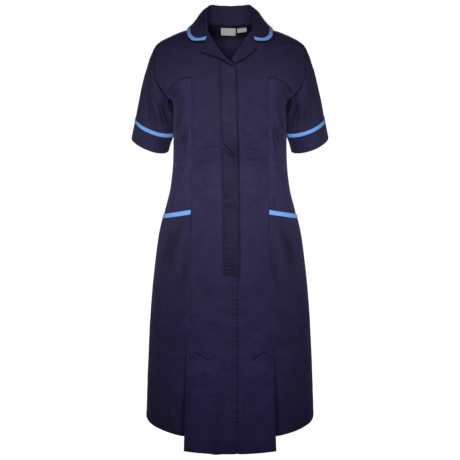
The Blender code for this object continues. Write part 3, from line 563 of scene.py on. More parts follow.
PLEAT_FOLDS = [
    Fold(0.1045, -0.8500, 0.1035, -0.8760, 0.0010, 0.0022, -0.0018),
    Fold(0.1020, -0.8780, 0.1040, -0.9050, -0.0010, 0.0022, -0.0015),
    Fold(0.0450, -0.8760, 0.0780, -0.9020, 0.0030, 0.0060, -0.0014),
    Fold(0.0250, -0.9150, 0.0800, -0.9250, -0.0040, 0.0070, -0.0006),
    Fold(0.0150, -0.8900, 0.1150, -0.8840, 0.0000, 0.0200, 0.0014),
]
FRONT_FOLDS = (mirrored(UNDER_BUST_FOLDS, 0.002, 3) + mirrored(WAIST_FOLDS, 0.006, 5)
               + mirrored(HIP_FOLDS, 0.006, 7) + mirrored(PLEAT_FOLDS, 0.003, 9))

# %% Where the creases are, behind
BACK_FOLDS = mirrored([
    Fold(0.1120, -0.2300, 0.1330, -0.3000, 0.0020, 0.0040, -0.0024),
    Fold(0.0980, -0.2550, 0.1180, -0.3300, -0.0020, 0.0040, -0.0020),
    Fold(0.0300, -0.3300, 0.1150, -0.3450, 0.0040, 0.0055, -0.0022),
    Fold(0.0100, -0.3550, 0.0900, -0.3650, -0.0040, 0.0055, -0.0020),
    Fold(0.0500, -0.3850, 0.1250, -0.3900, 0.0030, 0.0050, -0.0016),
    Fold(0.1300, -0.1450, 0.1050, -0.2150, 0.0060, 0.0070, -0.0030),
    Fold(0.0700, -0.5200, 0.1000, -0.9600, 0.0080, 0.0130, -0.0040),
    Fold(0.1300, -0.5400, 0.1620, -0.9000, -0.0080, 0.0120, -0.0040),
], 0.008, 11)


# %% [markdown]
# ## Seams
#
# Two panels sewn together meet in a shallow valley, because the seam pulls the cloth down while the
# allowance behind it holds it up on both sides. Thread also shrinks a little, which draws the cloth
# into small puckers across the seam. The same functions serve both panels, so their edges agree.

# %% Puckers along a row of stitches


def puckers(along_seam, across, spacing, reach, depth, seed):
    """Small troughs across a seam: a cubed wave whose spacing drifts, fading away from the seam."""
    phases = np.random.default_rng(seed).uniform(0, 2 * math.pi, 3)
    drift = 1.3 * np.sin(2 * math.pi * along_seam / (spacing * 5.3) + phases[0])
    drift = drift + 0.7 * np.sin(2 * math.pi * along_seam / (spacing * 2.1) + phases[1])
    wave = (0.5 + 0.5 * np.sin(2 * math.pi * along_seam / spacing + drift)) ** 3
    strength = 0.6 + 0.4 * np.sin(2 * math.pi * along_seam / (spacing * 7.7) + phases[2])
    return -depth * wave * strength * np.exp(-np.abs(across) / reach)


# %% Valleys along seams
SEAM_DEPTH = 0.0006
SEAM_WIDTH = 0.0013
ALLOWANCE = 0.009
ALLOWANCE_RISE = 0.0003
OVAL_EDGE = 1.02  # a rounded oval's edge against an ellipse's


def panel_edge(z):
    return read_table(PANEL_EDGE, z, "x")


def seam_valley(distance):
    """A narrow valley, and a broad low rise over the seam allowance on each side of it."""
    rise = ALLOWANCE_RISE * (1 - rise_smoothly((distance - ALLOWANCE) / 0.003))
    return rise - (SEAM_DEPTH + ALLOWANCE_RISE) * np.exp(-((distance / SEAM_WIDTH) ** 2))


def line_distance(x, z, line):
    """Distance of each place from a line through places, the least over its straight stretches."""
    nearest = np.full(np.broadcast(x, z).shape, np.inf)
    for (x1, z1), (x2, z2) in zip(line[:-1], line[1:]):
        share = ((x - x1) * (x2 - x1) + (z - z1) * (z2 - z1)) / ((x2 - x1) ** 2 + (z2 - z1) ** 2)
        share = np.clip(share, 0, 1)
        nearest = np.minimum(nearest, np.hypot(x - x1 - share * (x2 - x1), z - z1 - share * (z2 - z1)))
    return nearest


def side_distance(x, z, side):
    """Cloth from a place to the side or shoulder seam: the share left, of a quarter oval's edge."""
    quarter = math.pi / 4 * OVAL_EDGE * (read_table(FORM, z, "half_width") + depth_of(z, side))
    return (1 - np.abs(ring_share(x, z))) * quarter


GROOVE_SHARE = 0.25  # of the edges' shade, how much is a real groove


def edge_shade(x, z, side):
    """The shadow just under the collar's edge and the lapels' low edges: mostly painted shade, and a share of it a
    real groove.
    """
    collar = COLLAR[6:] if side == FRONT else COLLAR[:7]
    distance = line_distance(np.abs(x), z, [Place(station.edge_x, station.edge_z) for station in collar])
    total = -0.0060 * np.exp(-((distance / 0.0034) ** 2))
    if side == FRONT:
        distance = np.minimum(line_distance(-x, z, LAPEL_RIGHT_LOW), line_distance(x, z, LAPEL_LEFT_LOW))
        total = total - 0.0075 * np.exp(-((distance / 0.0028) ** 2))
    return total


def under_arm_shade(x, z, side):
    """A strip of painted shade by each side seam, where the sleeve rests against it and shadows it."""
    strip = np.exp(-((side_distance(x, z, side) / 0.011) ** 2)) * np.exp(-(((z + 0.235) / 0.048) ** 4))
    return -0.0070 * strip


def side_fade(x, z, side):
    """0 on the side and shoulder seams, where front and back have to meet, and 1 away from them."""
    return rise_smoothly(side_distance(x, z, side) / 0.020)


PLACKET_END_Z = -0.641
PLACKET_SEWN = -0.0380  # from the fly's edge to the placket's stitches
PLEAT_STITCHES = [(0.0539, -0.8670), (0.0947, -0.8463)]


def centre_relief(x, z):
    """Down the middle of the front: the shadow line by the fly, then a seam drawn in by its stitches."""
    off = x - read_table(FRONT_EDGE, z, "right")
    below = rise_smoothly((PLACKET_END_Z - z) / 0.006)
    reach = np.where(off < 0, 0.011, 0.0035)
    seam = seam_valley(np.abs(off)) + puckers(z + 0.25 * off, off / reach, 0.0100, 1.0, 0.0046, 31)
    deepest = 0.0022 + 0.0016 * np.exp(-(((z + 0.32) / 0.05) ** 2))
    beside = -deepest * np.exp(-(((off - 0.0054) / 0.0020) ** 2))
    sewn = -0.0015 * np.exp(-(((off - PLACKET_SEWN) / 0.0026) ** 2))
    return seam * below + (beside + sewn) * rise_smoothly((-0.09 - z) / 0.01) * (1 - below)


def pleat_stitch_relief(wide, z):
    """The slanted rows that hold the pleats: a groove, a ridge on both sides, and puckers."""
    distance = line_distance(wide, z, PLEAT_STITCHES)
    shape = 0.0012 * np.exp(-(((distance - 0.0052) / 0.0028) ** 2)) - 0.0030 * np.exp(-((distance / 0.0016) ** 2))
    return shape + puckers(wide, distance, 0.0080, 0.006, 0.0009, 37)


def looseness(z):
    """How freely the cloth ripples: little on the bust and at the hem, most on the skirt."""
    return rise_smoothly((-0.60 - z) / 0.25) * (1 - 0.7 * rise_smoothly((-0.98 - z) / 0.08))


def swell_relief(x, z, side):
    """Broad, low swells, a few centimetres long."""
    ripples = uneven(x, z, 21 + side, 12, 0.090, 0.026, 0.0035)
    return (0.4 + 0.6 * looseness(z)) * ripples * side_fade(x, z, side)


def crease_relief(x, z, side):
    """Creases, small ripples, and the valleys and puckers of seams."""
    total = fold_relief(x, z, FRONT_FOLDS if side == FRONT else BACK_FOLDS)
    total = total + (0.25 + 0.75 * looseness(z)) * uneven(x, z, 41 + side, 14, 0.040, 0.012, 0.0030, 1.0)
    total = total * side_fade(x, z, side) + GROOVE_SHARE * edge_shade(x, z, side)
    wide = np.abs(x)
    if side == FRONT:
        fades = rise_smoothly((z - PLEAT_Z) / 0.03) * rise_smoothly((CORNER_Z + 0.001 - z) / 0.001)
        fades = fades * (1 - 0.6 * rise_smoothly((-0.42 - z) / 0.15))
        off = np.abs(wide - panel_edge(z))
        total = total + (seam_valley(off) + puckers(z, off, 0.0135, 0.006, 0.0006, 33)) * fades
        total = total + centre_relief(x, z) + pleat_stitch_relief(wide, z)
        top_seam = line_distance(wide, z, TOP_SEAM)
        total = total + seam_valley(top_seam) * (top_seam < ALLOWANCE + 0.003)
    armhole = [(getattr(row, "front" if side == FRONT else "back"), row.z) for row in ARMHOLE]
    total = total + seam_valley(line_distance(wide, z, armhole))
    return total + seam_valley(side_distance(x, z, side))


def body_relief(x, z, side):
    """How far the cloth stands off the form at a place."""
    x, z = np.broadcast_arrays(np.asarray(x, float), np.asarray(z, float))
    return swell_relief(x, z, side) + crease_relief(x, z, side)


# %% [markdown]
# ## Laying out a panel
#
# A panel is a grid of places. Its columns and rows are a few millimetres apart, closer where an
# edge, a hem or a seam needs more shape. The grid is lifted on to the form, moved out by its relief,
# and gets a map of its own cloth in metres, so that the weave follows the cloth however it hangs.

# %% Grids of cloth
FRONT_STEP = 0.0023
BACK_STEP = 0.0042
STEP = 0.0023
EDGE_STOPS = (0.0006, 0.0013, 0.0022, 0.0035)
HEM_DEPTH = 0.009
HEM_STOPS = (0.0005, 0.0014, 0.0030, 0.0055, 0.0075, 0.0083, 0.0090, 0.0097, 0.0105, 0.0120)
FULL_SHADING_RELIEF = 0.0030  # a crease this high or deep gets the full painted shade or highlight
Patch = namedtuple("Patch", "points normals cloth rub")


def stops(length, step, near_start=(), near_end=()):
    """Shares from 0 to 1, about a step apart, with more of them at distances from either end."""
    even = np.linspace(0, 1, max(2, round(length / step)) + 1)
    extra = np.concatenate([np.array(near_start) / length, 1 - np.array(near_end) / length])
    return np.unique(np.round(np.concatenate([even, extra[(extra > 0) & (extra < 1)]]), 4))


def unroll(points):
    """Each point's place on the flat cloth: lengths added up across from the middle, and down."""
    across = np.linalg.norm(np.diff(points, axis=1), axis=-1)
    across = np.concatenate([np.zeros((len(points), 1)), np.cumsum(across, axis=1)], 1)
    across = across - across[:, points.shape[1] // 2][:, None]
    down = np.linalg.norm(np.diff(points, axis=0), axis=-1).mean(1)
    down = np.concatenate([[0], np.cumsum(down)])
    return np.stack([across, np.broadcast_to(-down[:, None], across.shape)], -1)


# Painted shading from relief: -1 for full painted shade in a trough, 1 for full painted highlight on a ridge.
def painted_shading_of(relief):
    return np.clip(relief / FULL_SHADING_RELIEF, -1, 1)


def lay(places, side, sign=1, out=0.0, crease=0.0, under_edges=1):
    """A grid of places on the form, moved out by its own height and the reliefs; sign -1 mirrors it.
    crease is relief of its own that is painted with shade and highlight too. under_edges is 0 for cloth on top of
    those edges, which takes none of their painted shadow."""
    points, normals = form_points(places[..., 0], places[..., 1], side)
    x, z = sign * places[..., 0], places[..., 1]
    relief = crease_relief(x, z, side) + crease
    height = np.asarray(out) + relief + swell_relief(x, z, side)
    points = points + height[..., None] * normals
    flip = np.array([sign, 1, 1])
    # painted shading: troughs shaded and ridges lit, plus painted shadow under the collar and lapel edges and beside
    # the sleeves
    shaded = relief + (1 - GROOVE_SHARE) * edge_shade(x, z, side) * under_edges + under_arm_shade(x, z, side)
    return Patch(points * flip, normals * flip, unroll(points), painted_shading_of(shaded))


def coons(bottom, top, left, right, u, v):
    """A grid between four edges: the two ruled surfaces added, less the one through the corners."""
    u, v = u[None, :, None], v[:, None, None]
    ruled = (1 - v) * bottom[None] + v * top[None] + (1 - u) * left[:, None] + u * right[:, None]
    corners = (1 - u) * (1 - v) * bottom[0] + u * (1 - v) * bottom[-1]
    return ruled - corners - (1 - u) * v * top[0] - u * v * top[-1]


def along(line, shares):
    """Places at shares of the length of a line through the given places."""
    line = np.array([tuple(p) for p in line])
    length = np.concatenate([[0], np.cumsum(np.linalg.norm(np.diff(line, axis=0), axis=1))])
    at = np.asarray(shares) * length[-1]
    return np.stack([np.interp(at, length, line[:, 0]), np.interp(at, length, line[:, 1])], -1)


# %% Sewing patches into a piece
MERGE = 5  # decimals of a metre within which two patches share a point


def sew(name, patches, material, thickness):
    """Joins patches into one mesh with its cloth map, faces outwards, and a wall turned inwards."""
    points = np.concatenate([p.points.reshape(-1, 3) for p in patches])
    cloth = np.concatenate([p.cloth.reshape(-1, 2) for p in patches])
    rub = np.concatenate([np.broadcast_to(p.rub, p.points.shape[:2]).reshape(-1) for p in patches])
    quads, start = [], 0
    for patch in patches:
        grid = patch.points
        number = np.arange(grid.shape[0] * grid.shape[1]).reshape(grid.shape[:2]) + start
        start += number.size
        faces = np.stack([number[:-1, :-1], number[1:, :-1], number[1:, 1:], number[:-1, 1:]], -1).reshape(-1, 4)
        turn = np.cross(grid[1:, :-1] - grid[:-1, :-1], grid[:-1, 1:] - grid[:-1, :-1])
        outward = (turn * patch.normals[:-1, :-1]).sum() > 0
        quads.append(faces if outward else faces[:, ::-1])
    quads = np.concatenate(quads)
    _, first, merged = np.unique(np.round(points, MERGE), axis=0, return_index=True, return_inverse=True)
    mesh = bpy.data.meshes.new(name)
    mesh.from_pydata(points[first].tolist(), [], merged.reshape(-1)[quads].tolist())
    mesh.uv_layers.new(name="cloth").data.foreach_set("uv", cloth[quads.reshape(-1)].reshape(-1))
    mesh.attributes.new("rub", "FLOAT", "POINT").data.foreach_set("value", rub[first])
    mesh.materials.append(material)
    mesh.shade_smooth()
    piece = bpy.data.objects.new(name, mesh)
    scene.collection.objects.link(piece)
    if thickness:
        wall = piece.modifiers.new("wall", "SOLIDIFY")
        wall.thickness = thickness
        wall.offset = -1
    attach(piece, "root")
    return piece


def cut_size(patches):
    """The cut's greatest width and length, and its area, from the lengths of the grids' steps."""
    width = max(np.ptp(p.cloth[..., 0], axis=1).max() for p in patches)
    length = sum(np.ptp(p.cloth[..., 1]) for p in patches)
    area = 0.0
    for p in patches:
        grid = p.points
        turn = np.cross(grid[1:, :-1] - grid[:-1, :-1], grid[:-1, 1:] - grid[:-1, :-1])
        area += np.linalg.norm(turn, axis=-1).sum()
    return width, length, area


def panel_size(patches):
    """The cut of a front panel whose grids lie beside each other: its length is cloth down the form."""
    heights = np.concatenate([p.points[..., 2].ravel() for p in patches])
    z = np.linspace(heights.max(), heights.min(), 400)
    line, _ = form_points(np.full(400, 0.07), z, FRONT)
    width, _, area = cut_size(patches)
    return width, np.linalg.norm(np.diff(line, axis=0), axis=1).sum(), area


def finish_piece(piece, node, slot, held, rests_on, width, length, area):
    """Hides the solid that the piece stands for and prints the size that its cloth was cut to; slot is not used."""
    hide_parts(node)
    area = min(area, 0.999 * width * length)
    print(f"{piece.name}: cut {width * 1000:.0f} x {length * 1000:.0f} mm, {area:.4f} m2")


# %% [markdown]
# ## Centre fronts
#
# Each centre front runs from the shoulder to the hem in one piece. Above the corner of the side
# panel it widens out to the armhole, and below the pleat's top its outer edge is a pressed fold
# that turns back behind it. The hem is turned up 9 mm and stitched.

# %% Build the centre fronts
CLOTH = 0.0009
PLEAT_INNER_X = 0.057
PLEAT_DROP = 0.032
PLEAT_LIFT_TOP = 0.0046
PLEAT_LIFT_HEM = 0.0120
PLEAT_LIFT_START_Z = -0.770
PLEAT_FLAT_X = 0.018
PLEAT_SLOPE_X = 0.032
PLEAT_TURN = 0.0015
PLEAT_LAYER = 0.0028
HEM_STAND = 0.0005
LEVEL_WITH_LIFT = 0.35  # an edge further out is cut this much shorter, and so looks level
TOP_ARM_ANGLE = math.radians(135)  # round the armhole, where the side front's top seam meets it


def arm_z(angle):
    middle, reach = (SHOULDER_Z + UNDERARM_Z) / 2, (SHOULDER_Z - UNDERARM_Z) / 2
    return middle + reach * np.cos(angle)


def arm_edge(z, side):
    return np.stack([read_table(ARMHOLE, z, "front" if side == FRONT else "back"), z], -1)


def pleat_lift(x, z):
    """How far the centre front stands off the form, below the pleat's top and near its edge."""
    rise = rise_smoothly((PLEAT_LIFT_START_Z - z) / (PLEAT_LIFT_START_Z - PLEAT_Z))
    fall = np.clip((PLEAT_Z - z) / (PLEAT_Z - FRONT_HEM_Z), 0, 1)
    height = PLEAT_LIFT_TOP * rise + (PLEAT_LIFT_HEM - PLEAT_LIFT_TOP) * fall
    return height * rise_smoothly((np.abs(x) - PLEAT_FLAT_X) / PLEAT_SLOPE_X)


def hem_relief(distance):
    """A turned hem: a step of double cloth, with the stitch row's groove at its top."""
    step = HEM_STAND * (1 - rise_smoothly((distance - HEM_DEPTH) / 0.0015))
    edge = -0.0004 * np.exp(-((distance / 0.0008) ** 2))
    return step + edge - 0.0006 * np.exp(-(((distance - HEM_DEPTH) / 0.0008) ** 2))


def down_rows(hem):
    """Heights by row and column, from the side panel's corner to a hem given column by column."""
    above = np.arange(round((CORNER_Z - PLEAT_Z) / STEP) + 1) / round((CORNER_Z - PLEAT_Z) / STEP)
    above = np.repeat((CORNER_Z + (PLEAT_Z - CORNER_Z) * above)[:, None], len(hem), 1)
    below = stops(PLEAT_Z - FRONT_HEM_Z, STEP, near_end=HEM_STOPS)[1:, None]
    return np.concatenate([above, PLEAT_Z + (hem - PLEAT_Z) * below])


def front_patches(inner_edge, sign):
    """The centre front's patches: corner to hem, corner to shoulder, and the pleat's return."""
    run = stops(0.110, STEP, near_start=EDGE_STOPS, near_end=EDGE_STOPS)
    hem_x = inner_edge(FRONT_HEM_Z) + (panel_edge(FRONT_HEM_Z) - inner_edge(FRONT_HEM_Z)) * run
    hem = FRONT_HEM_Z - FRONT_HEM_SAG * (1 - (hem_x / hem_x[-1]) ** 2)
    lift = pleat_lift(hem_x, hem)
    hem = hem + LEVEL_WITH_LIFT * (lift - PLEAT_LIFT_HEM * (hem_x / hem_x[-1]) ** 2)
    z = down_rows(hem)
    share_in = ring_share(inner_edge(z), z)
    share_out = ring_share(panel_edge(z), z)
    lower = np.stack([ring_place(z, share_in + (share_out - share_in) * run), z], -1)
    lift = pleat_lift(lower[..., 0], lower[..., 1]) + hem_relief(z - hem)
    patches = [lay(lower, FRONT, sign, lift)]

    seam = along(TOP_SEAM, stops(0.090, STEP, near_start=EDGE_STOPS))
    bottom = np.concatenate([lower[0], seam[1:]])
    u = np.concatenate([[0], np.cumsum(np.linalg.norm(np.diff(bottom, axis=0), axis=1))])
    u /= u[-1]
    arm = stops(0.130, STEP, near_start=EDGE_STOPS, near_end=EDGE_STOPS)
    right = arm_edge(arm_z(TOP_ARM_ANGLE * (1 - arm)), FRONT)
    v = (right[:, 1] - right[0, 1]) / (right[-1, 1] - right[0, 1])
    bottom[-1] = right[0]
    left_z = lower[0, 0, 1] * (1 - v)
    left = np.stack([inner_edge(left_z), left_z], -1)
    top_z = SHOULDER_Z * u
    top = np.stack([read_table(FORM, top_z, "half_width"), top_z], -1)
    upper = coons(bottom, top, left, right, u, v)
    upper[0] = bottom
    patches.append(lay(upper, FRONT, sign))

    rows = z[:, -1] <= PLEAT_Z
    edge_x, edge_z = lower[rows, -1].T
    edge_points, edge_normals = form_points(edge_x, edge_z, FRONT)
    edge_height = lift[rows, -1] + body_relief(sign * edge_x, edge_z, FRONT)
    sideways = np.cross(edge_normals, np.array([0, 0, 1.0]))
    sideways *= np.sign(sideways[:, :1]) / np.linalg.norm(sideways, axis=1, keepdims=True)
    turn = np.linspace(0, math.pi, 7)[None, :, None]
    middle = edge_points + (edge_height - PLEAT_LAYER / 2)[:, None] * edge_normals
    normal, aside = edge_normals[:, None], sideways[:, None]
    fold = middle[:, None] + PLEAT_LAYER / 2 * np.cos(turn) * normal + PLEAT_TURN * np.sin(turn) * aside
    fold_normal = np.cos(turn) * normal + np.sin(turn) * aside
    inward = np.linspace(0, 1, 9)
    x = edge_x[:, None] + (PLEAT_INNER_X - edge_x)[:, None] * inward
    low = (edge_z - FRONT_HEM_Z) / (PLEAT_Z - FRONT_HEM_Z)
    back_z = edge_z[:, None] - PLEAT_DROP * low[:, None] * inward
    points, normals = form_points(x, back_z, FRONT)
    behind = points + ((edge_height - PLEAT_LAYER)[:, None] * (1 - 0.3 * inward))[..., None] * normals
    behind[:, 0] = fold[:, -1]
    grid = np.concatenate([fold, behind[:, 1:]], 1)
    turned = np.concatenate([fold_normal, -normals[:, 1:]], 1)
    flip = np.array([sign, 1, 1])
    patches.append(Patch(grid * flip, turned * flip, unroll(grid), 0.0))
    return patches


def inner_right(z):
    return -read_table(FRONT_EDGE, z, "right")


def inner_left(z):
    return read_table(FRONT_EDGE, z, "left")


for side_name, sign, inner in (("right", -1, inner_right), ("left", 1, inner_left)):
    patches = front_patches(inner, sign)
    piece = sew(f"front_{side_name}_cloth", patches, NAVY, CLOTH)
    width, length, area = panel_size(patches)
    finish_piece(piece, f"front_{side_name}", "navy_cloth", "hung", [], width, length, area)

# %% [markdown]
# ## Side fronts and side skirts
#
# The side front starts at a squared corner and fills the bust, then runs down to the pocket. The
# pocket mouth is the open top edge of the side skirt, which laps in front of it. Behind the pleat,
# the side skirt runs on under the centre front to the pleat's hidden fold.

# %% Build the side panels
MOUTH_INNER_Z = -0.4727
MOUTH_OUTER_Z = -0.507
MOUTH_LIFT = 0.0014
MOUTH_SETTLED_Z = -0.640
MOUTH_TAPE = 0.0117
UNDERLAP_START = 0.010
UNDERLAP_END = 0.024
UNDERLAP_DIP = -0.0012
TAPE_THICK = 0.0008
PLEAT_DIP = -0.0090  # the side skirt turns in here, behind the pleat
PLEAT_SHADE = -0.0030  # painted shadow beside the pleat's edge, on the side skirt


def mouth_z(run):
    return MOUTH_INNER_Z + (MOUTH_OUTER_Z - MOUTH_INNER_Z) * run


def side_places(z, run):
    share_in = ring_share(panel_edge(z), z)
    return np.stack([ring_x(z, share_in + (1 - share_in) * run), z], -1)


def side_hem(share):
    """The hem's height: level behind the centre front, then rising less and less to the side seam."""
    left_over = np.clip((1 - share) / (1 - HEM_LEVEL_SHARE), 0, 1)
    return HEM_Z + HEM_RISE * (1 - left_over**2)


SIDE_RUN = stops(0.090, STEP, near_start=EDGE_STOPS, near_end=EDGE_STOPS)


def beside_seam_highlight(places):
    """A painted highlight in a band on a side front beside its seam, where cloth lifted by the seam allowance catches
    light.
    """
    off, z = places[..., 0] - panel_edge(places[..., 1]), places[..., 1]
    reach = rise_smoothly((-0.12 - z) / 0.02) * rise_smoothly((z + 0.46) / 0.10)
    return 0.0009 * np.exp(-(((off - 0.011) / 0.013) ** 2)) * reach


def side_front_patches(sign):
    """The underarm down to behind the pocket mouth, and the bust up to the squared top seam."""
    flat_end = MOUTH_INNER_Z + UNDERLAP_START
    down = np.linspace(UNDERARM_Z, flat_end, round((UNDERARM_Z - flat_end) / STEP) + 1)
    z = np.repeat(down[:, None], len(SIDE_RUN), 1)
    tail = stops(0.045, 0.003)[1:, None]
    z = np.concatenate([z, flat_end + (mouth_z(SIDE_RUN) - UNDERLAP_END - flat_end) * tail])
    dip = UNDERLAP_DIP * rise_smoothly((mouth_z(SIDE_RUN) + UNDERLAP_START - z) / UNDERLAP_START)
    lower = side_places(z, SIDE_RUN)
    arm = stops(0.040, 0.003)
    right = arm_edge(arm_z(math.pi + (TOP_ARM_ANGLE - math.pi) * arm), FRONT)
    u = np.concatenate([[0], np.cumsum(np.linalg.norm(np.diff(lower[0], axis=0), axis=1))])
    u /= u[-1]
    top = along(TOP_SEAM, u)
    top[-1] = right[-1]
    left_z = UNDERARM_Z + (top[0, 1] - UNDERARM_Z) * arm
    left = np.stack([panel_edge(left_z), left_z], -1)
    upper = coons(lower[0], top, left, right, u, arm)
    upper[0] = lower[0]
    # painted highlight only: taken off the height and put into the shading
    painted_light = [beside_seam_highlight(places) for places in (lower, upper)]
    return [lay(lower, FRONT, sign, dip - painted_light[0], 0.0002 + painted_light[0]),
            lay(upper, FRONT, sign, -painted_light[1], 0.0002 + painted_light[1])]


def side_skirt_patches(sign):
    """Pocket mouth to hem, the strip that runs on behind the pleat, and the tape on the mouth."""
    first = ring_share(panel_edge(HEM_Z), HEM_Z)
    hem = side_hem(first + (1 - first) * SIDE_RUN)
    top = mouth_z(SIDE_RUN)
    upper_rows = stops(0.33, STEP, near_start=(0.0006, 0.0015, 0.010, 0.0117, 0.013))[:, None]
    lower_rows = stops(0.257, STEP, near_end=HEM_STOPS)[1:, None]
    z = np.concatenate([top + (PLEAT_Z - top) * upper_rows, PLEAT_Z + (hem - PLEAT_Z) * lower_rows])
    lower = side_places(z, SIDE_RUN)
    off = MOUTH_LIFT * rise_smoothly((z - MOUTH_SETTLED_Z) / (MOUTH_OUTER_Z - MOUTH_SETTLED_Z))
    dip = PLEAT_DIP * rise_smoothly((PLEAT_Z - z) / 0.03) * np.exp(-(lower[..., 0] - lower[:, :1, 0]) / 0.007)
    beside = lower[..., 0] - lower[:, :1, 0]
    reach = 0.005 + 0.009 * np.clip((PLEAT_Z - z) / 0.20, 0, 1)
    # painted shadow only: taken off the height and put into the shading
    shade = PLEAT_SHADE * rise_smoothly((PLEAT_Z - z) / 0.02) * np.exp(-((beside / reach) ** 4))
    patches = [lay(lower, FRONT, sign, off + dip + hem_relief(z - hem) - shade, shade)]

    rows = z[:, 0] <= PLEAT_Z
    edge_x, edge_z = lower[rows, 0].T
    inward = np.linspace(1, 0, 12)
    x = edge_x[:, None] + (PLEAT_INNER_X - edge_x)[:, None] * inward
    low = (edge_z - HEM_Z) / (PLEAT_Z - HEM_Z)
    behind = np.stack([x, edge_z[:, None] - PLEAT_DROP * low[:, None] * inward], -1)
    behind[:, -1] = lower[rows, 0]
    patches.append(lay(behind, FRONT, sign, dip[rows, 0][:, None] + hem_relief(edge_z - hem[0])[:, None]))

    across = np.array([0, 0.0004, 0.0010, 0.0020, 0.0058, 0.0095, 0.0105, 0.0112, MOUTH_TAPE])
    tape_z = top - across[:, None]
    tape_off = MOUTH_LIFT + TAPE_THICK * np.clip(np.sin(np.pi * across / MOUTH_TAPE) * 5, 0.25, 1)
    tape = lay(side_places(tape_z, SIDE_RUN), FRONT, sign, tape_off[:, None])
    return patches, tape


for side_name, sign in (("right", -1), ("left", 1)):
    patches = side_front_patches(sign)
    piece = sew(f"side_front_{side_name}_cloth", patches, NAVY, CLOTH)
    finish_piece(piece, f"side_front_{side_name}", "navy_cloth", "hung", [f"front_{side_name}_cloth"],
                 *cut_size(patches))
    patches, tape = side_skirt_patches(sign)
    piece = sew(f"side_skirt_{side_name}_cloth", patches, NAVY, CLOTH)
    finish_piece(piece, f"side_skirt_{side_name}", "navy_cloth", "hung", [f"side_front_{side_name}_cloth"],
                 *panel_size(patches))
    piece = sew(f"pocket_tape_{side_name}", [tape], BLUE, TAPE_THICK)
    finish_piece(piece, f"pocket_trim_{side_name}", "blue_tape", "laid", [f"side_skirt_{side_name}_cloth"],
                 *cut_size([tape]))

# %% [markdown]
# ## Back
#
# The back is one wide piece from side seam to side seam. It isn't in the photograph, so it is plain,
# with the soft creases that such a back has at the waist and below the shoulder blades.

# %% Build the back


def back_patches(sign):
    """One half of the back: underarm to hem, and underarm up to the neck and shoulder."""
    share = stops(0.26, BACK_STEP, near_end=EDGE_STOPS)
    hem = side_hem(share)
    rows = stops(UNDERARM_Z - HEM_Z, BACK_STEP, near_end=HEM_STOPS)[:, None]
    z = UNDERARM_Z + (hem - UNDERARM_Z) * rows
    lower = np.stack([ring_x(z, share), z], -1)
    arm = stops(0.16, BACK_STEP, near_end=EDGE_STOPS)
    right = arm_edge(arm_z(math.pi * (1 - arm)), BACK)
    v = (right[:, 1] - UNDERARM_Z) / (SHOULDER_Z - UNDERARM_Z)
    left = np.stack([np.zeros(len(v)), UNDERARM_Z + (NAPE_Z - UNDERARM_Z) * v], -1)
    neck_share = 0.38
    neck_x = NECK_X * np.clip(share / neck_share, 0, 1)
    down = np.clip((share - neck_share) / (1 - neck_share), 0, 1)
    top_z = np.where(share < neck_share, NAPE_Z * (1 - (neck_x / NECK_X) ** 2), SHOULDER_Z * down)
    top_x = np.where(share < neck_share, neck_x, read_table(FORM, top_z, "half_width"))
    upper = coons(lower[0], np.stack([top_x, top_z], -1), left, right, share, v)
    upper[0] = lower[0]
    # painted shade on the back under the collar; taken off the height, so only the shading changes
    under_collar_shade = -0.0028 * rise_smoothly((upper[..., 1] + 0.058) / 0.020) * rise_smoothly((0.085 - upper[..., 0]) / 0.02)
    return [lay(lower, BACK, sign, hem_relief(z - hem)), lay(upper, BACK, sign, -under_collar_shade, under_collar_shade)]


halves = [back_patches(1), back_patches(-1)]
piece = sew("back_cloth", halves[0] + halves[1], NAVY, CLOTH)
width, length, area = cut_size(halves[0])
finish_piece(piece, "back", "navy_cloth", "hung", ["front_right_cloth", "front_left_cloth"],
             2 * width, length, 2 * area)

# %% [markdown]
# ## Sleeves, cuffs and their tape
#
# A sleeve leaves the armhole outwards and turns down into a tube. It is drawn from two rings, the
# armhole and the top of the cuff, with a cubic curve between them that leaves and arrives in its own
# direction at the top, front, underarm and back. The cuff is a straight turned-up band, and the tape
# covers the seam between the two.

# %% Build the sleeves
Ring = namedtuple("Ring", "x y z half_width half_depth")
TRIM_RING = Ring(0.2007, 0.016, -0.2700, 0.0536, 0.060)
CUFF_RING = Ring(0.2133, 0.023, -0.3210, 0.0522, 0.056)
RING_SLANT = math.radians(19.5)
RING_LEAN = math.radians(8.5)
Leave = namedtuple("Leave", "x y z")
LEAVE_TOP = Leave(0.072, 0.000, -0.112)
LEAVE_FRONT = Leave(0.050, -0.030, -0.120)
LEAVE_UNDER = Leave(0.004, 0.004, -0.075)
LEAVE_BACK = Leave(0.050, 0.034, -0.120)
ARRIVE_TOP = Leave(0.029, 0.010, -0.150)
ARRIVE_FRONT = Leave(0.026, 0.004, -0.145)
ARRIVE_UNDER = Leave(-0.004, 0.006, -0.085)
ARRIVE_BACK = Leave(0.026, 0.016, -0.145)
SLEEVE_GAP = 0.0003
TAPE_WIDTH = 0.0105
ARM_RADIUS = 0.056
SLEEVE_LENGTH = 0.13
SLEEVE_TOUCH = 0.0028  # the inner side bulges this far, to rest against the side of the dress
SLEEVE_FOLDS = [
    Fold(0.150, 0.004, 0.158, 0.066, 0.003, 0.0060, -0.0052),
    Fold(0.126, 0.020, 0.140, 0.100, 0.004, 0.0060, -0.0034),
    Fold(0.110, 0.040, 0.118, 0.112, -0.003, 0.0050, -0.0026),
    Fold(0.090, 0.055, 0.096, 0.118, 0.003, 0.0055, -0.0022),
    Fold(0.066, 0.045, 0.070, 0.115, -0.004, 0.0070, -0.0016),
    Fold(0.200, 0.010, 0.192, 0.070, 0.003, 0.0060, -0.0036),
    Fold(0.222, 0.030, 0.214, 0.110, -0.003, 0.0060, -0.0024),
    Fold(0.262, 0.040, 0.258, 0.115, 0.004, 0.0070, -0.0020),
]


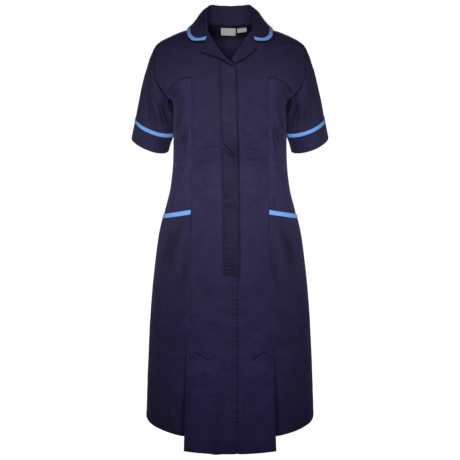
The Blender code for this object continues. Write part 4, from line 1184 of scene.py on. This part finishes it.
def round_arm(top, front, under, back, angle):
    """A value round the arm: its mean, plus one wave and two waves a turn, through four given ones."""
    top, front, under, back = (np.array(v, float) for v in (top, front, under, back))
    angle = np.asarray(angle)[:, None]
    mean = (top + front + under + back) / 4
    twice = (top - front + under - back) / 4
    once = (top - under) / 2 * np.cos(angle) + (front - back) / 2 * np.sin(angle)
    return mean + once + twice * np.cos(2 * angle)


def ring_points(ring, angle):
    """An oval round the arm: angle 0 is its outer end, a quarter turn its front."""
    centre = np.array([ring.x, ring.y, ring.z])
    outward = np.array([math.cos(RING_SLANT), 0, math.sin(RING_SLANT)])
    forward = np.array([0, -math.cos(RING_LEAN), -math.sin(RING_LEAN)])
    angle = np.asarray(angle)[:, None]
    return centre + ring.half_width * np.cos(angle) * outward + ring.half_depth * np.sin(angle) * forward


def armhole_loop(angle):
    front, back = arm_edge(arm_z(angle), FRONT), arm_edge(arm_z(angle), BACK)
    points_front, _ = form_points(front[:, 0], front[:, 1], FRONT)
    points_back, _ = form_points(back[:, 0], back[:, 1], BACK)
    return np.where((np.sin(angle) >= 0)[:, None], points_front, points_back)


def tube_normals(grid):
    """Normals of a tube whose last column repeats its first: across the two ways of the grid."""
    ring = grid[:, :-1]
    round_step = np.roll(ring, -1, 1) - np.roll(ring, 1, 1)
    normal = np.cross(np.gradient(ring, axis=0), round_step)
    normal /= np.linalg.norm(normal, axis=-1, keepdims=True)
    if ((ring - ring.mean(1, keepdims=True)) * normal).sum() < 0:
        normal = -normal
    return np.concatenate([normal, normal[:, :1]], 1)


def tube_patch(grid, sign, out, crease=0.0):
    """A tube moved out along its normals and mirrored for the right arm; crease is painted with shade and highlight
    too.
    """
    normals = tube_normals(grid)
    points = grid + np.broadcast_to(out + crease, grid.shape[:2])[..., None] * normals
    points[:, -1] = points[:, 0]
    flip = np.array([sign, 1, 1])
    return Patch(points * flip, normals * flip, unroll(grid), painted_shading_of(crease + 0 * grid[..., 0]))


def sleeve_patches(sign):
    """The sleeve, its cuff and its tape, each as one tube."""
    angle = np.linspace(0, 2 * math.pi, 105)
    start = armhole_loop(angle)
    end, hem = ring_points(TRIM_RING, angle), ring_points(CUFF_RING, angle)
    down = (hem - end) / np.linalg.norm(hem - end, axis=1, keepdims=True)
    leave = round_arm(LEAVE_TOP, LEAVE_FRONT, LEAVE_UNDER, LEAVE_BACK, angle)
    arrive = round_arm(ARRIVE_TOP, ARRIVE_FRONT, ARRIVE_UNDER, ARRIVE_BACK, angle)
    start = start + SLEEVE_GAP * leave / np.linalg.norm(leave, axis=1, keepdims=True)
    start[:, 0] += SLEEVE_GAP / 2
    rows = stops(SLEEVE_LENGTH, 0.003, near_start=EDGE_STOPS)
    t = rows[:, None, None]
    tube = (1 + 2 * t) * (1 - t) ** 2 * start + t * (1 - t) ** 2 * leave
    tube = tube + t * t * (3 - 2 * t) * end + t * t * (t - 1) * arrive
    tube[:, -1] = tube[:, 0]
    round_place, down_place = angle[None, :] * ARM_RADIUS, rows[:, None] * SLEEVE_LENGTH
    relief = fold_relief(round_place, down_place, SLEEVE_FOLDS)
    relief = relief + seam_valley(down_place + 0 * round_place) * rise_smoothly(down_place / 0.001 + 0.2)
    relief = relief + uneven(round_place, down_place, 61 + sign, 10, 0.045, 0.014, 0.0045) * np.sin(math.pi * rows[:, None])
    inner = np.exp(-(((angle[None, :] - math.pi) / 0.85) ** 2)) * rise_smoothly((rows[:, None] - 0.02) / 0.25)
    down_hollow = np.exp(-(((down_place - 0.029) / 0.021) ** 4))
    hollow = -0.0055 * np.exp(-(((angle[None, :] - 2.78) / 0.13) ** 2)) * down_hollow
    # painted shade in the hollow under the arm and a painted dark line along the armhole seam; taken off the height,
    # so only the shading changes
    shade = -0.0060 * np.exp(-(((angle[None, :] - 3.10) / 0.30) ** 2)) * down_hollow
    shade = shade - 0.0034 * np.exp(-((down_place / 0.0017) ** 2))
    gathers = puckers(round_place, SLEEVE_LENGTH - down_place, 0.0055, 0.016, 0.0018, 53) * (0.4 + 0.6 * inner)
    sleeve = tube_patch(tube, sign, SLEEVE_TOUCH * inner - shade, relief + hollow + gathers + shade)
    cuff_rows = stops(0.055, STEP, near_start=EDGE_STOPS, near_end=EDGE_STOPS)[:, None, None]
    cuff_tube = end * (1 - cuff_rows) + hem * cuff_rows
    distance = 0.055 * (1 - cuff_rows[..., 0])
    cuff_out = 0.0004 - 0.0005 * np.exp(-((distance / 0.0010) ** 2))
    cuff_out = cuff_out + 0.0006 * np.sin(4 * angle[None, :] + 1.3 + sign) * cuff_rows[..., 0]
    inner = np.exp(-(((angle[None, :] - math.pi) / 0.85) ** 2))
    cuff_out = cuff_out + SLEEVE_TOUCH * inner * (1 - rise_smoothly(cuff_rows[..., 0] / 0.6))
    cuff = tube_patch(cuff_tube, sign, cuff_out)
    across = np.array([-0.5, -0.46, -0.40, -0.30, 0, 0.30, 0.40, 0.46, 0.5])
    tape_tube = end + across[:, None, None] * TAPE_WIDTH * down
    tape_out = 0.0006 + TAPE_THICK * np.sqrt(1 - (2 * across[:, None]) ** 4)
    tape = tube_patch(tape_tube, sign, tape_out + SLEEVE_TOUCH * inner)
    return sleeve, cuff, tape


for side_name, sign in (("right", -1), ("left", 1)):
    sleeve, cuff, tape = sleeve_patches(sign)
    piece = sew(f"sleeve_{side_name}_cloth", [sleeve], NAVY, CLOTH)
    finish_piece(piece, f"sleeve_{side_name}", "navy_cloth", "hung", [f"front_{side_name}_cloth", "back_cloth"],
                 *cut_size([sleeve]))
    piece = sew(f"cuff_{side_name}_cloth", [cuff], NAVY, 0.0012)
    finish_piece(piece, f"cuff_{side_name}", "navy_cloth", "hung", [f"sleeve_{side_name}_cloth"],
                 *cut_size([cuff]))
    piece = sew(f"sleeve_tape_{side_name}", [tape], BLUE, TAPE_THICK)
    finish_piece(piece, f"sleeve_trim_{side_name}", "blue_tape", "laid", [f"cuff_{side_name}_cloth"],
                 *cut_size([tape]))

# %% [markdown]
# ## Collar
#
# The collar is one piece: a stand that rises inside the neck, a soft rolled fold, and a leaf that
# falls outside. It is drawn as a profile, straight up, half a circle, then a rounded fall, carried
# round the neck through a dozen stations a side. The tape wraps the leaf's edge.

# %% Build the collar
COLLAR_INSET = 0.0028
COLLAR_TURN = 0.0027
COLLAR_TURN_OUT = 0.0042
COLLAR_BULGE = 0.10
BULGE_SCALE = 27 / 4
BULGE_UP = 0.5
COLLAR_PLY = 0.0014
COLLAR_STAND_OFF = GAP + COLLAR_PLY + 0.0018


def smooth_through(points, at):
    """A cubic curve through points, at shares of the way along them, with slopes from both sides."""
    chord = np.concatenate([[0], np.cumsum(np.linalg.norm(np.diff(points[:, :3], axis=0), axis=1))])
    tangent = np.gradient(points, chord, axis=0)
    place = at * chord[-1]
    k = np.clip(np.searchsorted(chord, place, side="right") - 1, 0, len(points) - 2)
    step = (chord[k + 1] - chord[k])[:, None]
    t = (place - chord[k])[:, None] / step
    start = (1 + 2 * t) * (1 - t) ** 2 * points[k] + t * (1 - t) ** 2 * step * tangent[k]
    return start + t * t * (3 - 2 * t) * points[k + 1] + t * t * (t - 1) * step * tangent[k + 1]


def collar_lines(count):
    """The edge, seam and fold of the collar and its leaf's outward lean, smoothly round the neck."""
    rows = []
    for station in COLLAR:
        seam, seam_normal = form_points(station.seam_x, station.seam_z, station.seam_side)
        seam = seam - COLLAR_INSET * seam_normal * np.array([1, 1, 0]) / np.linalg.norm(seam_normal[:2])
        edge, edge_normal = form_points(station.edge_x, station.edge_z, station.edge_side)
        edge = edge + edge_normal * COLLAR_STAND_OFF
        fold = np.array([station.fold_x, station.fold_y, station.fold_z])
        rows.append(np.concatenate([edge, seam, fold, edge_normal]))
    half = np.array(rows)
    flip = np.array([-1, 1, 1] * 4)
    made = smooth_through(np.concatenate([half[:0:-1] * flip, half]), np.linspace(0, 1, count))
    return made[:, :3], made[:, 3:6], made[:, 6:9], made[:, 9:]


def collar_patches():
    """The collar's face from its seam up, over and down, and the strip of it that the tape covers."""
    edge, seam, fold, edge_normal = collar_lines(161)
    outward = (edge - seam) * np.array([1, 1, 0])
    outward /= np.linalg.norm(outward, axis=1, keepdims=True)
    up = np.array([0, 0, 1.0])
    middle = fold - COLLAR_TURN * up
    puff = edge_normal + BULGE_UP * up
    puff /= np.linalg.norm(puff, axis=1, keepdims=True)
    fold_in, fold_out = middle - COLLAR_TURN * outward, middle + COLLAR_TURN_OUT * outward
    stand = np.linspace(0, 1, 9)[None, :-1, None]
    turn = np.linspace(0, math.pi, 13)[None, :, None]
    reach = np.where(np.cos(turn) > 0, COLLAR_TURN, COLLAR_TURN_OUT)
    leaf = edge - fold_out
    width = np.linalg.norm(leaf, axis=1)
    shares = stops(0.055, 0.003, near_end=EDGE_STOPS)[1:]
    t = shares[None, :, None]
    bulge = COLLAR_BULGE * BULGE_SCALE * (width[:, None] * puff)[:, None] * t * (1 - t) ** 2
    parts = [seam[:, None] + (fold_in - seam)[:, None] * stand,
             middle[:, None] - reach * np.cos(turn) * outward[:, None] + COLLAR_TURN * np.sin(turn) * up,
             fold_out[:, None] + leaf[:, None] * t + bulge]
    grid = np.concatenate(parts, 1)
    normals = open_normals(grid)
    tape_t = 1 - np.array([1, 0.93, 0.85, 0.7, 0.5, 0.3, 0.15, 0.07, 0])[None, :] * (TAPE_WIDTH / width)[:, None]
    t = tape_t[..., None]
    bulge = COLLAR_BULGE * BULGE_SCALE * (width[:, None] * puff)[:, None] * t * (1 - t) ** 2
    strip = fold_out[:, None] + leaf[:, None] * t + bulge
    face = open_normals(strip)
    rounded = np.sqrt(1 - np.linspace(-1, 1, 9) ** 4)[None, :, None]
    tape = strip + (0.0003 + TAPE_THICK * rounded) * face
    ripple = uneven(unroll(grid)[..., 0], unroll(grid)[..., 1], 71, 10, 0.040, 0.012, 0.0040)
    column = np.arange(grid.shape[1])
    # painted highlight along the roll and painted shade just inside it, in the shading only, not the shape
    roll = 0.0034 * np.exp(-((column - 16) / 1.8) ** 2) - 0.0030 * np.exp(-((column - 12.5) / 1.4) ** 2)
    grid = grid + ripple[..., None] * normals * np.sin(math.pi * np.linspace(0, 1, grid.shape[1]))[None, :, None]
    # painted highlight on the stand, in the shading only
    stand_highlight = 0.0011 * (column < 9)
    rub = painted_shading_of(ripple + (roll + stand_highlight)[None, :])
    return Patch(grid, normals, unroll(grid), rub), Patch(tape, face, unroll(strip), 0.0)


def open_normals(grid):
    """Normals of an open strip round the neck, turned away from its inside at the middle of the back."""
    normal = np.cross(np.gradient(grid, axis=0), np.gradient(grid, axis=1))
    normal /= np.linalg.norm(normal, axis=-1, keepdims=True)
    return normal if normal[len(grid) // 2, -1, 1] > 0 else -normal


collar, collar_tape = collar_patches()
piece = sew("collar_cloth", [collar], NAVY, 0.0011)
width, length, area = cut_size([collar])
finish_piece(piece, "collar", "navy_cloth", "folded", ["back_cloth"], length, width, area)
piece = sew("collar_tape", [collar_tape], BLUE, TAPE_THICK)
width, length, area = cut_size([collar_tape])
finish_piece(piece, "collar_trim", "blue_tape", "laid", ["collar_cloth"], length, width, area)

# %% [markdown]
# ## Lapels
#
# Below the collar, the top of each front is turned outwards. The fold at the neckline is a soft
# roll, the middle is slightly puffed, and the outer edges lie down on the front.

# %% Build the lapels
LAPEL_PUFF = 0.0038
ROLL_RADIUS = 0.0030
LAPEL_LIE = 0.0032


def lapel_patch(roll, low, out_edge, sign):
    """A patch between the roll, the gorge, the outer edge and the low edge, rounded up in the middle."""
    u = stops(0.055, 0.002, near_start=(0.0003, 0.0008, 0.0014, 0.0022, 0.0030), near_end=EDGE_STOPS)
    v = stops(0.065, 0.002, near_end=EDGE_STOPS)
    top = along([roll[0], out_edge[0]], u)
    bottom = along(low, u)
    places = coons(top, bottom, along(roll, v), along(out_edge, v), u, v)
    base, _ = form_points(places[..., 0], places[..., 1], FRONT)
    across = np.linalg.norm(np.diff(base, axis=1), axis=-1)
    across = np.concatenate([np.zeros((len(v), 1)), np.cumsum(across, 1)], 1)
    inside = np.clip(1 - across / ROLL_RADIUS, 0, 1)
    rolled = ROLL_RADIUS * (np.sqrt(1 - inside**2) - 1)
    low_edge = np.linalg.norm(base[-1:] - base, axis=-1)
    outer = across[:, -1:] - across
    out_of_collar = rise_smoothly(v[:, None] / 0.40)
    puff = LAPEL_PUFF * np.sin(math.pi * u)[None, :] * (1 - 0.5 * v[:, None]) * out_of_collar
    lie = LAPEL_LIE * (0.25 + 0.75 * out_of_collar)
    edges = -0.0007 * (np.exp(-((outer / 0.0008) ** 2)) + np.exp(-((low_edge / 0.0008) ** 2)))
    roll_ridge = 0.0010 * np.exp(-(((across - 0.0025) / 0.0030) ** 2))
    own = edges + roll_ridge - GROOVE_SHARE * edge_shade(sign * places[..., 0], places[..., 1], FRONT)
    return lay(places, FRONT, sign, lie + puff + rolled, own, under_edges=0)


for side_name, sign, roll, low, out_edge in (
    ("right", -1, LAPEL_RIGHT_ROLL, LAPEL_RIGHT_LOW, LAPEL_RIGHT_OUT),
    ("left", 1, LAPEL_LEFT_ROLL, LAPEL_LEFT_LOW, LAPEL_LEFT_OUT),
):
    patch = lapel_patch(roll, low, out_edge, sign)
    piece = sew(f"lapel_{side_name}_cloth", [patch], NAVY, 0.0010)
    finish_piece(piece, f"lapel_{side_name}", "navy_cloth", "folded", [f"front_{side_name}_cloth"],
                 *cut_size([patch]))

# %% [markdown]
# ## Fly placket
#
# The fastening is hidden under a folded strip of the right front. Its free edge casts a thin shadow
# over the left front, its other edge is only a row of stitches, and the layers inside draw it into
# puckers, most of all at the waist and just above its lower end.

# %% Build the placket
PLACKET_TOP_Z = -0.103
PLACKET_BOTTOM_Z = -0.641
PLACKET_WIDTH = 0.045
PLACKET_OVER = 0.004
PLACKET_STAND = 0.0026
PLACKET_SUNK = 0.0008  # its hidden edge lies this far under the front's face
PLACKET_SEAM = 0.003  # from its hidden edge to its row of stitches
PLACKET_TOP = (-0.0760, -0.0925, -0.1030)  # its top runs up under the lapel
PLACKET_LEAST_X = 0.0106
PLACKET_PAINTED_SHADE = -0.0011  # painted shade on the placket, growing below the bust
PLACKET_FOLDS = [
    Fold(-0.0340, -0.2820, 0.0200, -0.3420, 0.002, 0.0080, -0.0030),
    Fold(-0.0290, -0.2750, -0.0180, -0.3120, -0.001, 0.0060, -0.0022),
    Fold(-0.0330, -0.4300, 0.0060, -0.4360, 0.002, 0.0070, -0.0018),
    Fold(-0.0260, -0.4520, 0.0240, -0.4620, -0.002, 0.0090, -0.0012),
    Fold(-0.0240, -0.5480, 0.0000, -0.5590, 0.001, 0.0032, -0.0018),
    Fold(-0.0180, -0.2400, 0.0120, -0.2440, 0.001, 0.0040, -0.0010),
    Fold(-0.0200, -0.5700, 0.0180, -0.5760, 0.001, 0.0030, -0.0012),
    Fold(-0.0220, -0.5850, 0.0190, -0.5890, -0.001, 0.0026, -0.0016),
    Fold(-0.0210, -0.5960, 0.0200, -0.5985, 0.001, 0.0024, -0.0016),
    Fold(-0.0220, -0.6060, 0.0200, -0.6085, -0.001, 0.0022, -0.0018),
    Fold(-0.0200, -0.6150, 0.0205, -0.6180, 0.001, 0.0022, -0.0018),
    Fold(-0.0210, -0.6240, 0.0210, -0.6265, 0.000, 0.0020, -0.0018),
    Fold(-0.0200, -0.6325, 0.0210, -0.6345, 0.000, 0.0020, -0.0016),
]


def placket_patch():
    """A strip beside the fly's edge, as high as its folded cloth there and nothing at its stitches."""
    rows = stops(PLACKET_TOP_Z - PLACKET_BOTTOM_Z, 0.0020, near_end=EDGE_STOPS)[:, None]
    run = stops(PLACKET_WIDTH, 0.0020, near_start=EDGE_STOPS, near_end=EDGE_STOPS)[None, :]
    top = np.interp(run, [0.0, 0.80, 1.0], PLACKET_TOP)
    z = top + (PLACKET_BOTTOM_Z - top) * rows
    edge = np.maximum(read_table(FRONT_EDGE, z, "right"), PLACKET_LEAST_X) + PLACKET_OVER
    places = np.stack([edge - PLACKET_WIDTH * (1 - run), z], -1)
    from_edge, from_stitches = PLACKET_WIDTH * (1 - run), PLACKET_WIDTH * run - PLACKET_SEAM
    height = (PLACKET_STAND + PLACKET_SUNK) * rise_smoothly(PLACKET_WIDTH * run / 0.012) - PLACKET_SUNK
    end = rise_smoothly((z - PLACKET_BOTTOM_Z) / 0.004) * rise_smoothly((top - z) / 0.010)
    height = np.where(height > 0, height * (0.30 + 0.70 * end), height)
    crease = fold_relief(places[..., 0], z, PLACKET_FOLDS) + puckers(z, from_stitches, 0.012, 0.006, 0.0006, 43)
    crease = crease - 0.0010 * np.exp(-((from_edge / 0.0010) ** 2))
    # painted shade only: taken off the height and put into the shading
    drawn = PLACKET_PAINTED_SHADE * rise_smoothly((-0.20 - z) / 0.12)
    return lay(places, FRONT, 1, height - drawn, crease + drawn)


patch = placket_patch()
piece = sew("placket_cloth", [patch], NAVY, 0.0010)
finish_piece(piece, "placket", "navy_cloth", "laid", ["front_right_cloth"], *cut_size([patch]))

# %% [markdown]
# ## Labels
#
# Two woven labels are caught in the back neck seam: a main label and a small size tab. They are
# blank. Each hangs from its top edge, bows out a little, and its cut end curls.

# %% Build the labels
Label = namedtuple("Label", "left right top bottom lift tilt")
NECK_LABEL = Label(-0.0241, 0.0149, -0.0170, -0.0368, 0.0013, 0.0008)
SIZE_TAB = Label(0.0190, 0.0450, -0.0160, -0.0268, 0.0020, -0.0021)


def label_patch(size):
    """A small rectangle inside the back, turned by its tilt, bowed away from the cloth lower down."""
    x = np.linspace(size.left, size.right, 25)[None, :]
    down = np.linspace(0, 1, 15)[:, None]
    middle, half = (size.left + size.right) / 2, (size.right - size.left) / 2
    z = size.top + (size.bottom - size.top) * down - size.tilt * (x - middle) / half
    places = np.stack(np.broadcast_arrays(x + 0 * z, z), -1)
    inward = CLOTH + size.lift + 0.0012 * down**2 + 0.0005 * np.sin(math.pi * (x - size.left) / (2 * half)) * down
    points, normals = form_points(places[..., 0], places[..., 1], BACK)
    points = points - inward[..., None] * normals
    return Patch(points, -normals, unroll(points), 0.0)


for name, node, size in (("neck_label_weave", "neck_label", NECK_LABEL), ("size_tab_weave", "size_tab", SIZE_TAB)):
    patch = label_patch(size)
    piece = sew(name, [patch], WHITE, 0.0005)
    finish_piece(piece, node, "white_label", "hung", ["back_cloth"], *cut_size([patch]))

# %% [markdown]
# ## Stitches
#
# A lockstitch shows as a row of small dashes, 3 mm long, each dipping into the cloth at both ends.
# One dash is a short pointed tube of a few faces, and numpy sets copies of it along a row, turned to
# the row and to the cloth, so a thousand of them cost little.

# %% A row of stitches
STITCH_PITCH = 0.0031
STITCH_LENGTH = 0.0024
STITCH_RADIUS = 0.00028


def stitch_shape():
    """A tube of six sides whose radius is a half wave along its length and whose middle is raised."""
    along_it = np.linspace(-0.5, 0.5, 6)[:, None]
    turn = np.arange(6)[None, :] * math.pi / 3
    radius = STITCH_RADIUS * np.sqrt(np.clip(1 - (2 * along_it) ** 4, 0.02, 1))
    raised = STITCH_RADIUS * (1 - (2 * along_it) ** 2)
    shape = np.stack(np.broadcast_arrays(STITCH_LENGTH * along_it, radius * np.cos(turn),
                                         radius * np.sin(turn) + raised - STITCH_RADIUS / 2), -1)
    number = np.arange(36).reshape(6, 6)
    around = np.roll(number, -1, 1)
    quads = np.stack([number[:-1], around[:-1], around[1:], number[1:]], -1).reshape(-1, 4)
    return shape.reshape(-1, 3), quads


def stitch_row(name, rows, material):
    """Stitches along each row of (points, normals), evenly by length, joined as one piece."""
    shape, quads = stitch_shape()
    made, faces, start = [], [], 0
    for points, normals in rows:
        length = np.concatenate([[0], np.cumsum(np.linalg.norm(np.diff(points, axis=0), axis=1))])
        at = np.arange(STITCH_PITCH / 2, length[-1], STITCH_PITCH)
        place = np.stack([np.interp(at, length, points[:, k]) for k in range(3)], -1)
        up = np.stack([np.interp(at, length, normals[:, k]) for k in range(3)], -1)
        ahead = np.stack([np.interp(at + 0.0008, length, points[:, k]) for k in range(3)], -1) - place
        ahead = ahead + 1e-9 - (ahead * up).sum(-1, keepdims=True) * up
        ahead /= np.linalg.norm(ahead, axis=-1, keepdims=True)
        aside = np.cross(up, ahead)
        grid = (place[:, None] + shape[None, :, :1] * ahead[:, None] + shape[None, :, 1:2] * aside[:, None]
                + shape[None, :, 2:] * up[:, None])
        made.append(grid.reshape(-1, 3))
        faces.append((quads[None] + np.arange(len(at))[:, None, None] * len(shape)).reshape(-1, 4) + start)
        start += len(at) * len(shape)
    points = np.concatenate(made)
    faces = np.concatenate(faces)
    mesh = bpy.data.meshes.new(name)
    mesh.from_pydata(points.tolist(), [], faces.tolist())
    twist = (points.sum(-1) / 3)[faces.reshape(-1)]
    mesh.uv_layers.new(name="cloth").data.foreach_set("uv", np.stack([twist, twist], -1).reshape(-1))
    mesh.materials.append(material)
    mesh.shade_smooth()
    piece = bpy.data.objects.new(name, mesh)
    scene.collection.objects.link(piece)
    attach(piece, "root")
    print(f"{name}: {len(faces) // len(quads)} stitches")
    return piece


def on_cloth(places, side, sign=1, out=0.0):
    """A line of places on the body's cloth, just proud of it."""
    patch = lay(np.array(places, float)[None], side, sign, out)
    return patch.points[0], patch.normals[0]


# %% Stitches on the body
fly = np.linspace(-0.100, PLACKET_END_Z + 0.0015, 300)
fly_x = np.maximum(read_table(FRONT_EDGE, fly, "right"), PLACKET_LEAST_X) + PLACKET_OVER - PLACKET_WIDTH + PLACKET_SEAM
end_x = np.linspace(fly_x[-1], fly_x[-1] + PLACKET_WIDTH - PLACKET_SEAM - 0.0015, 30)
rows = [on_cloth(np.stack([fly_x, fly], -1), FRONT, 1, 0.0002),
        on_cloth(np.stack([end_x, 0 * end_x + PLACKET_END_Z + 0.0015], -1), FRONT, 1, 0.0012)]
for sign in (1, -1):
    stitch_line = along(PLEAT_STITCHES, np.linspace(0, 1, 40))
    rows.append(on_cloth(stitch_line, FRONT, sign, pleat_lift(stitch_line[:, 0], stitch_line[:, 1])))
stitch_row("fly_and_pleat_stitches", rows, NAVY_THREAD)

rows = []
for sign, inner in ((-1, inner_right), (1, inner_left)):
    hem_x = np.linspace(inner(FRONT_HEM_Z) + 0.001, panel_edge(FRONT_HEM_Z) - 0.001, 120)
    share = (hem_x / panel_edge(FRONT_HEM_Z)) ** 2
    lift = pleat_lift(hem_x, FRONT_HEM_Z + 0 * hem_x)
    hem_z = FRONT_HEM_Z - FRONT_HEM_SAG * (1 - share) + LEVEL_WITH_LIFT * (lift - PLEAT_LIFT_HEM * share)
    rows.append(on_cloth(np.stack([hem_x, hem_z + HEM_DEPTH], -1), FRONT, sign, lift))
    share = np.linspace(0, 1, 200)
    rows.append(on_cloth(np.stack([ring_x(side_hem(share) + HEM_DEPTH, share), side_hem(share) + HEM_DEPTH], -1), BACK, sign))
    share = np.linspace(ring_share(panel_edge(HEM_Z), HEM_Z) + 0.02, 1, 100)
    rows.append(on_cloth(np.stack([ring_x(side_hem(share) + HEM_DEPTH, share), side_hem(share) + HEM_DEPTH], -1), FRONT, sign))
stitch_row("hem_stitches", rows, NAVY_THREAD)

# %% Stitches on the tapes
rows = []
for sign in (1, -1):
    run = np.linspace(0.01, 0.99, 60)
    for down in (0.0014, MOUTH_TAPE - 0.0016):
        places = side_places(mouth_z(run) - down, run)
        rows.append(on_cloth(places, FRONT, sign, MOUTH_LIFT + TAPE_THICK + 0.0001))
    tape = sleeve_patches(sign)[2]
    rows += [(tape.points[k], tape.normals[k]) for k in (2, 6)]
for column in (2, 6):
    rows.append((collar_tape.points[:, column], collar_tape.normals[:, column]))
stitch_row("tape_stitches", rows, BLUE_THREAD)
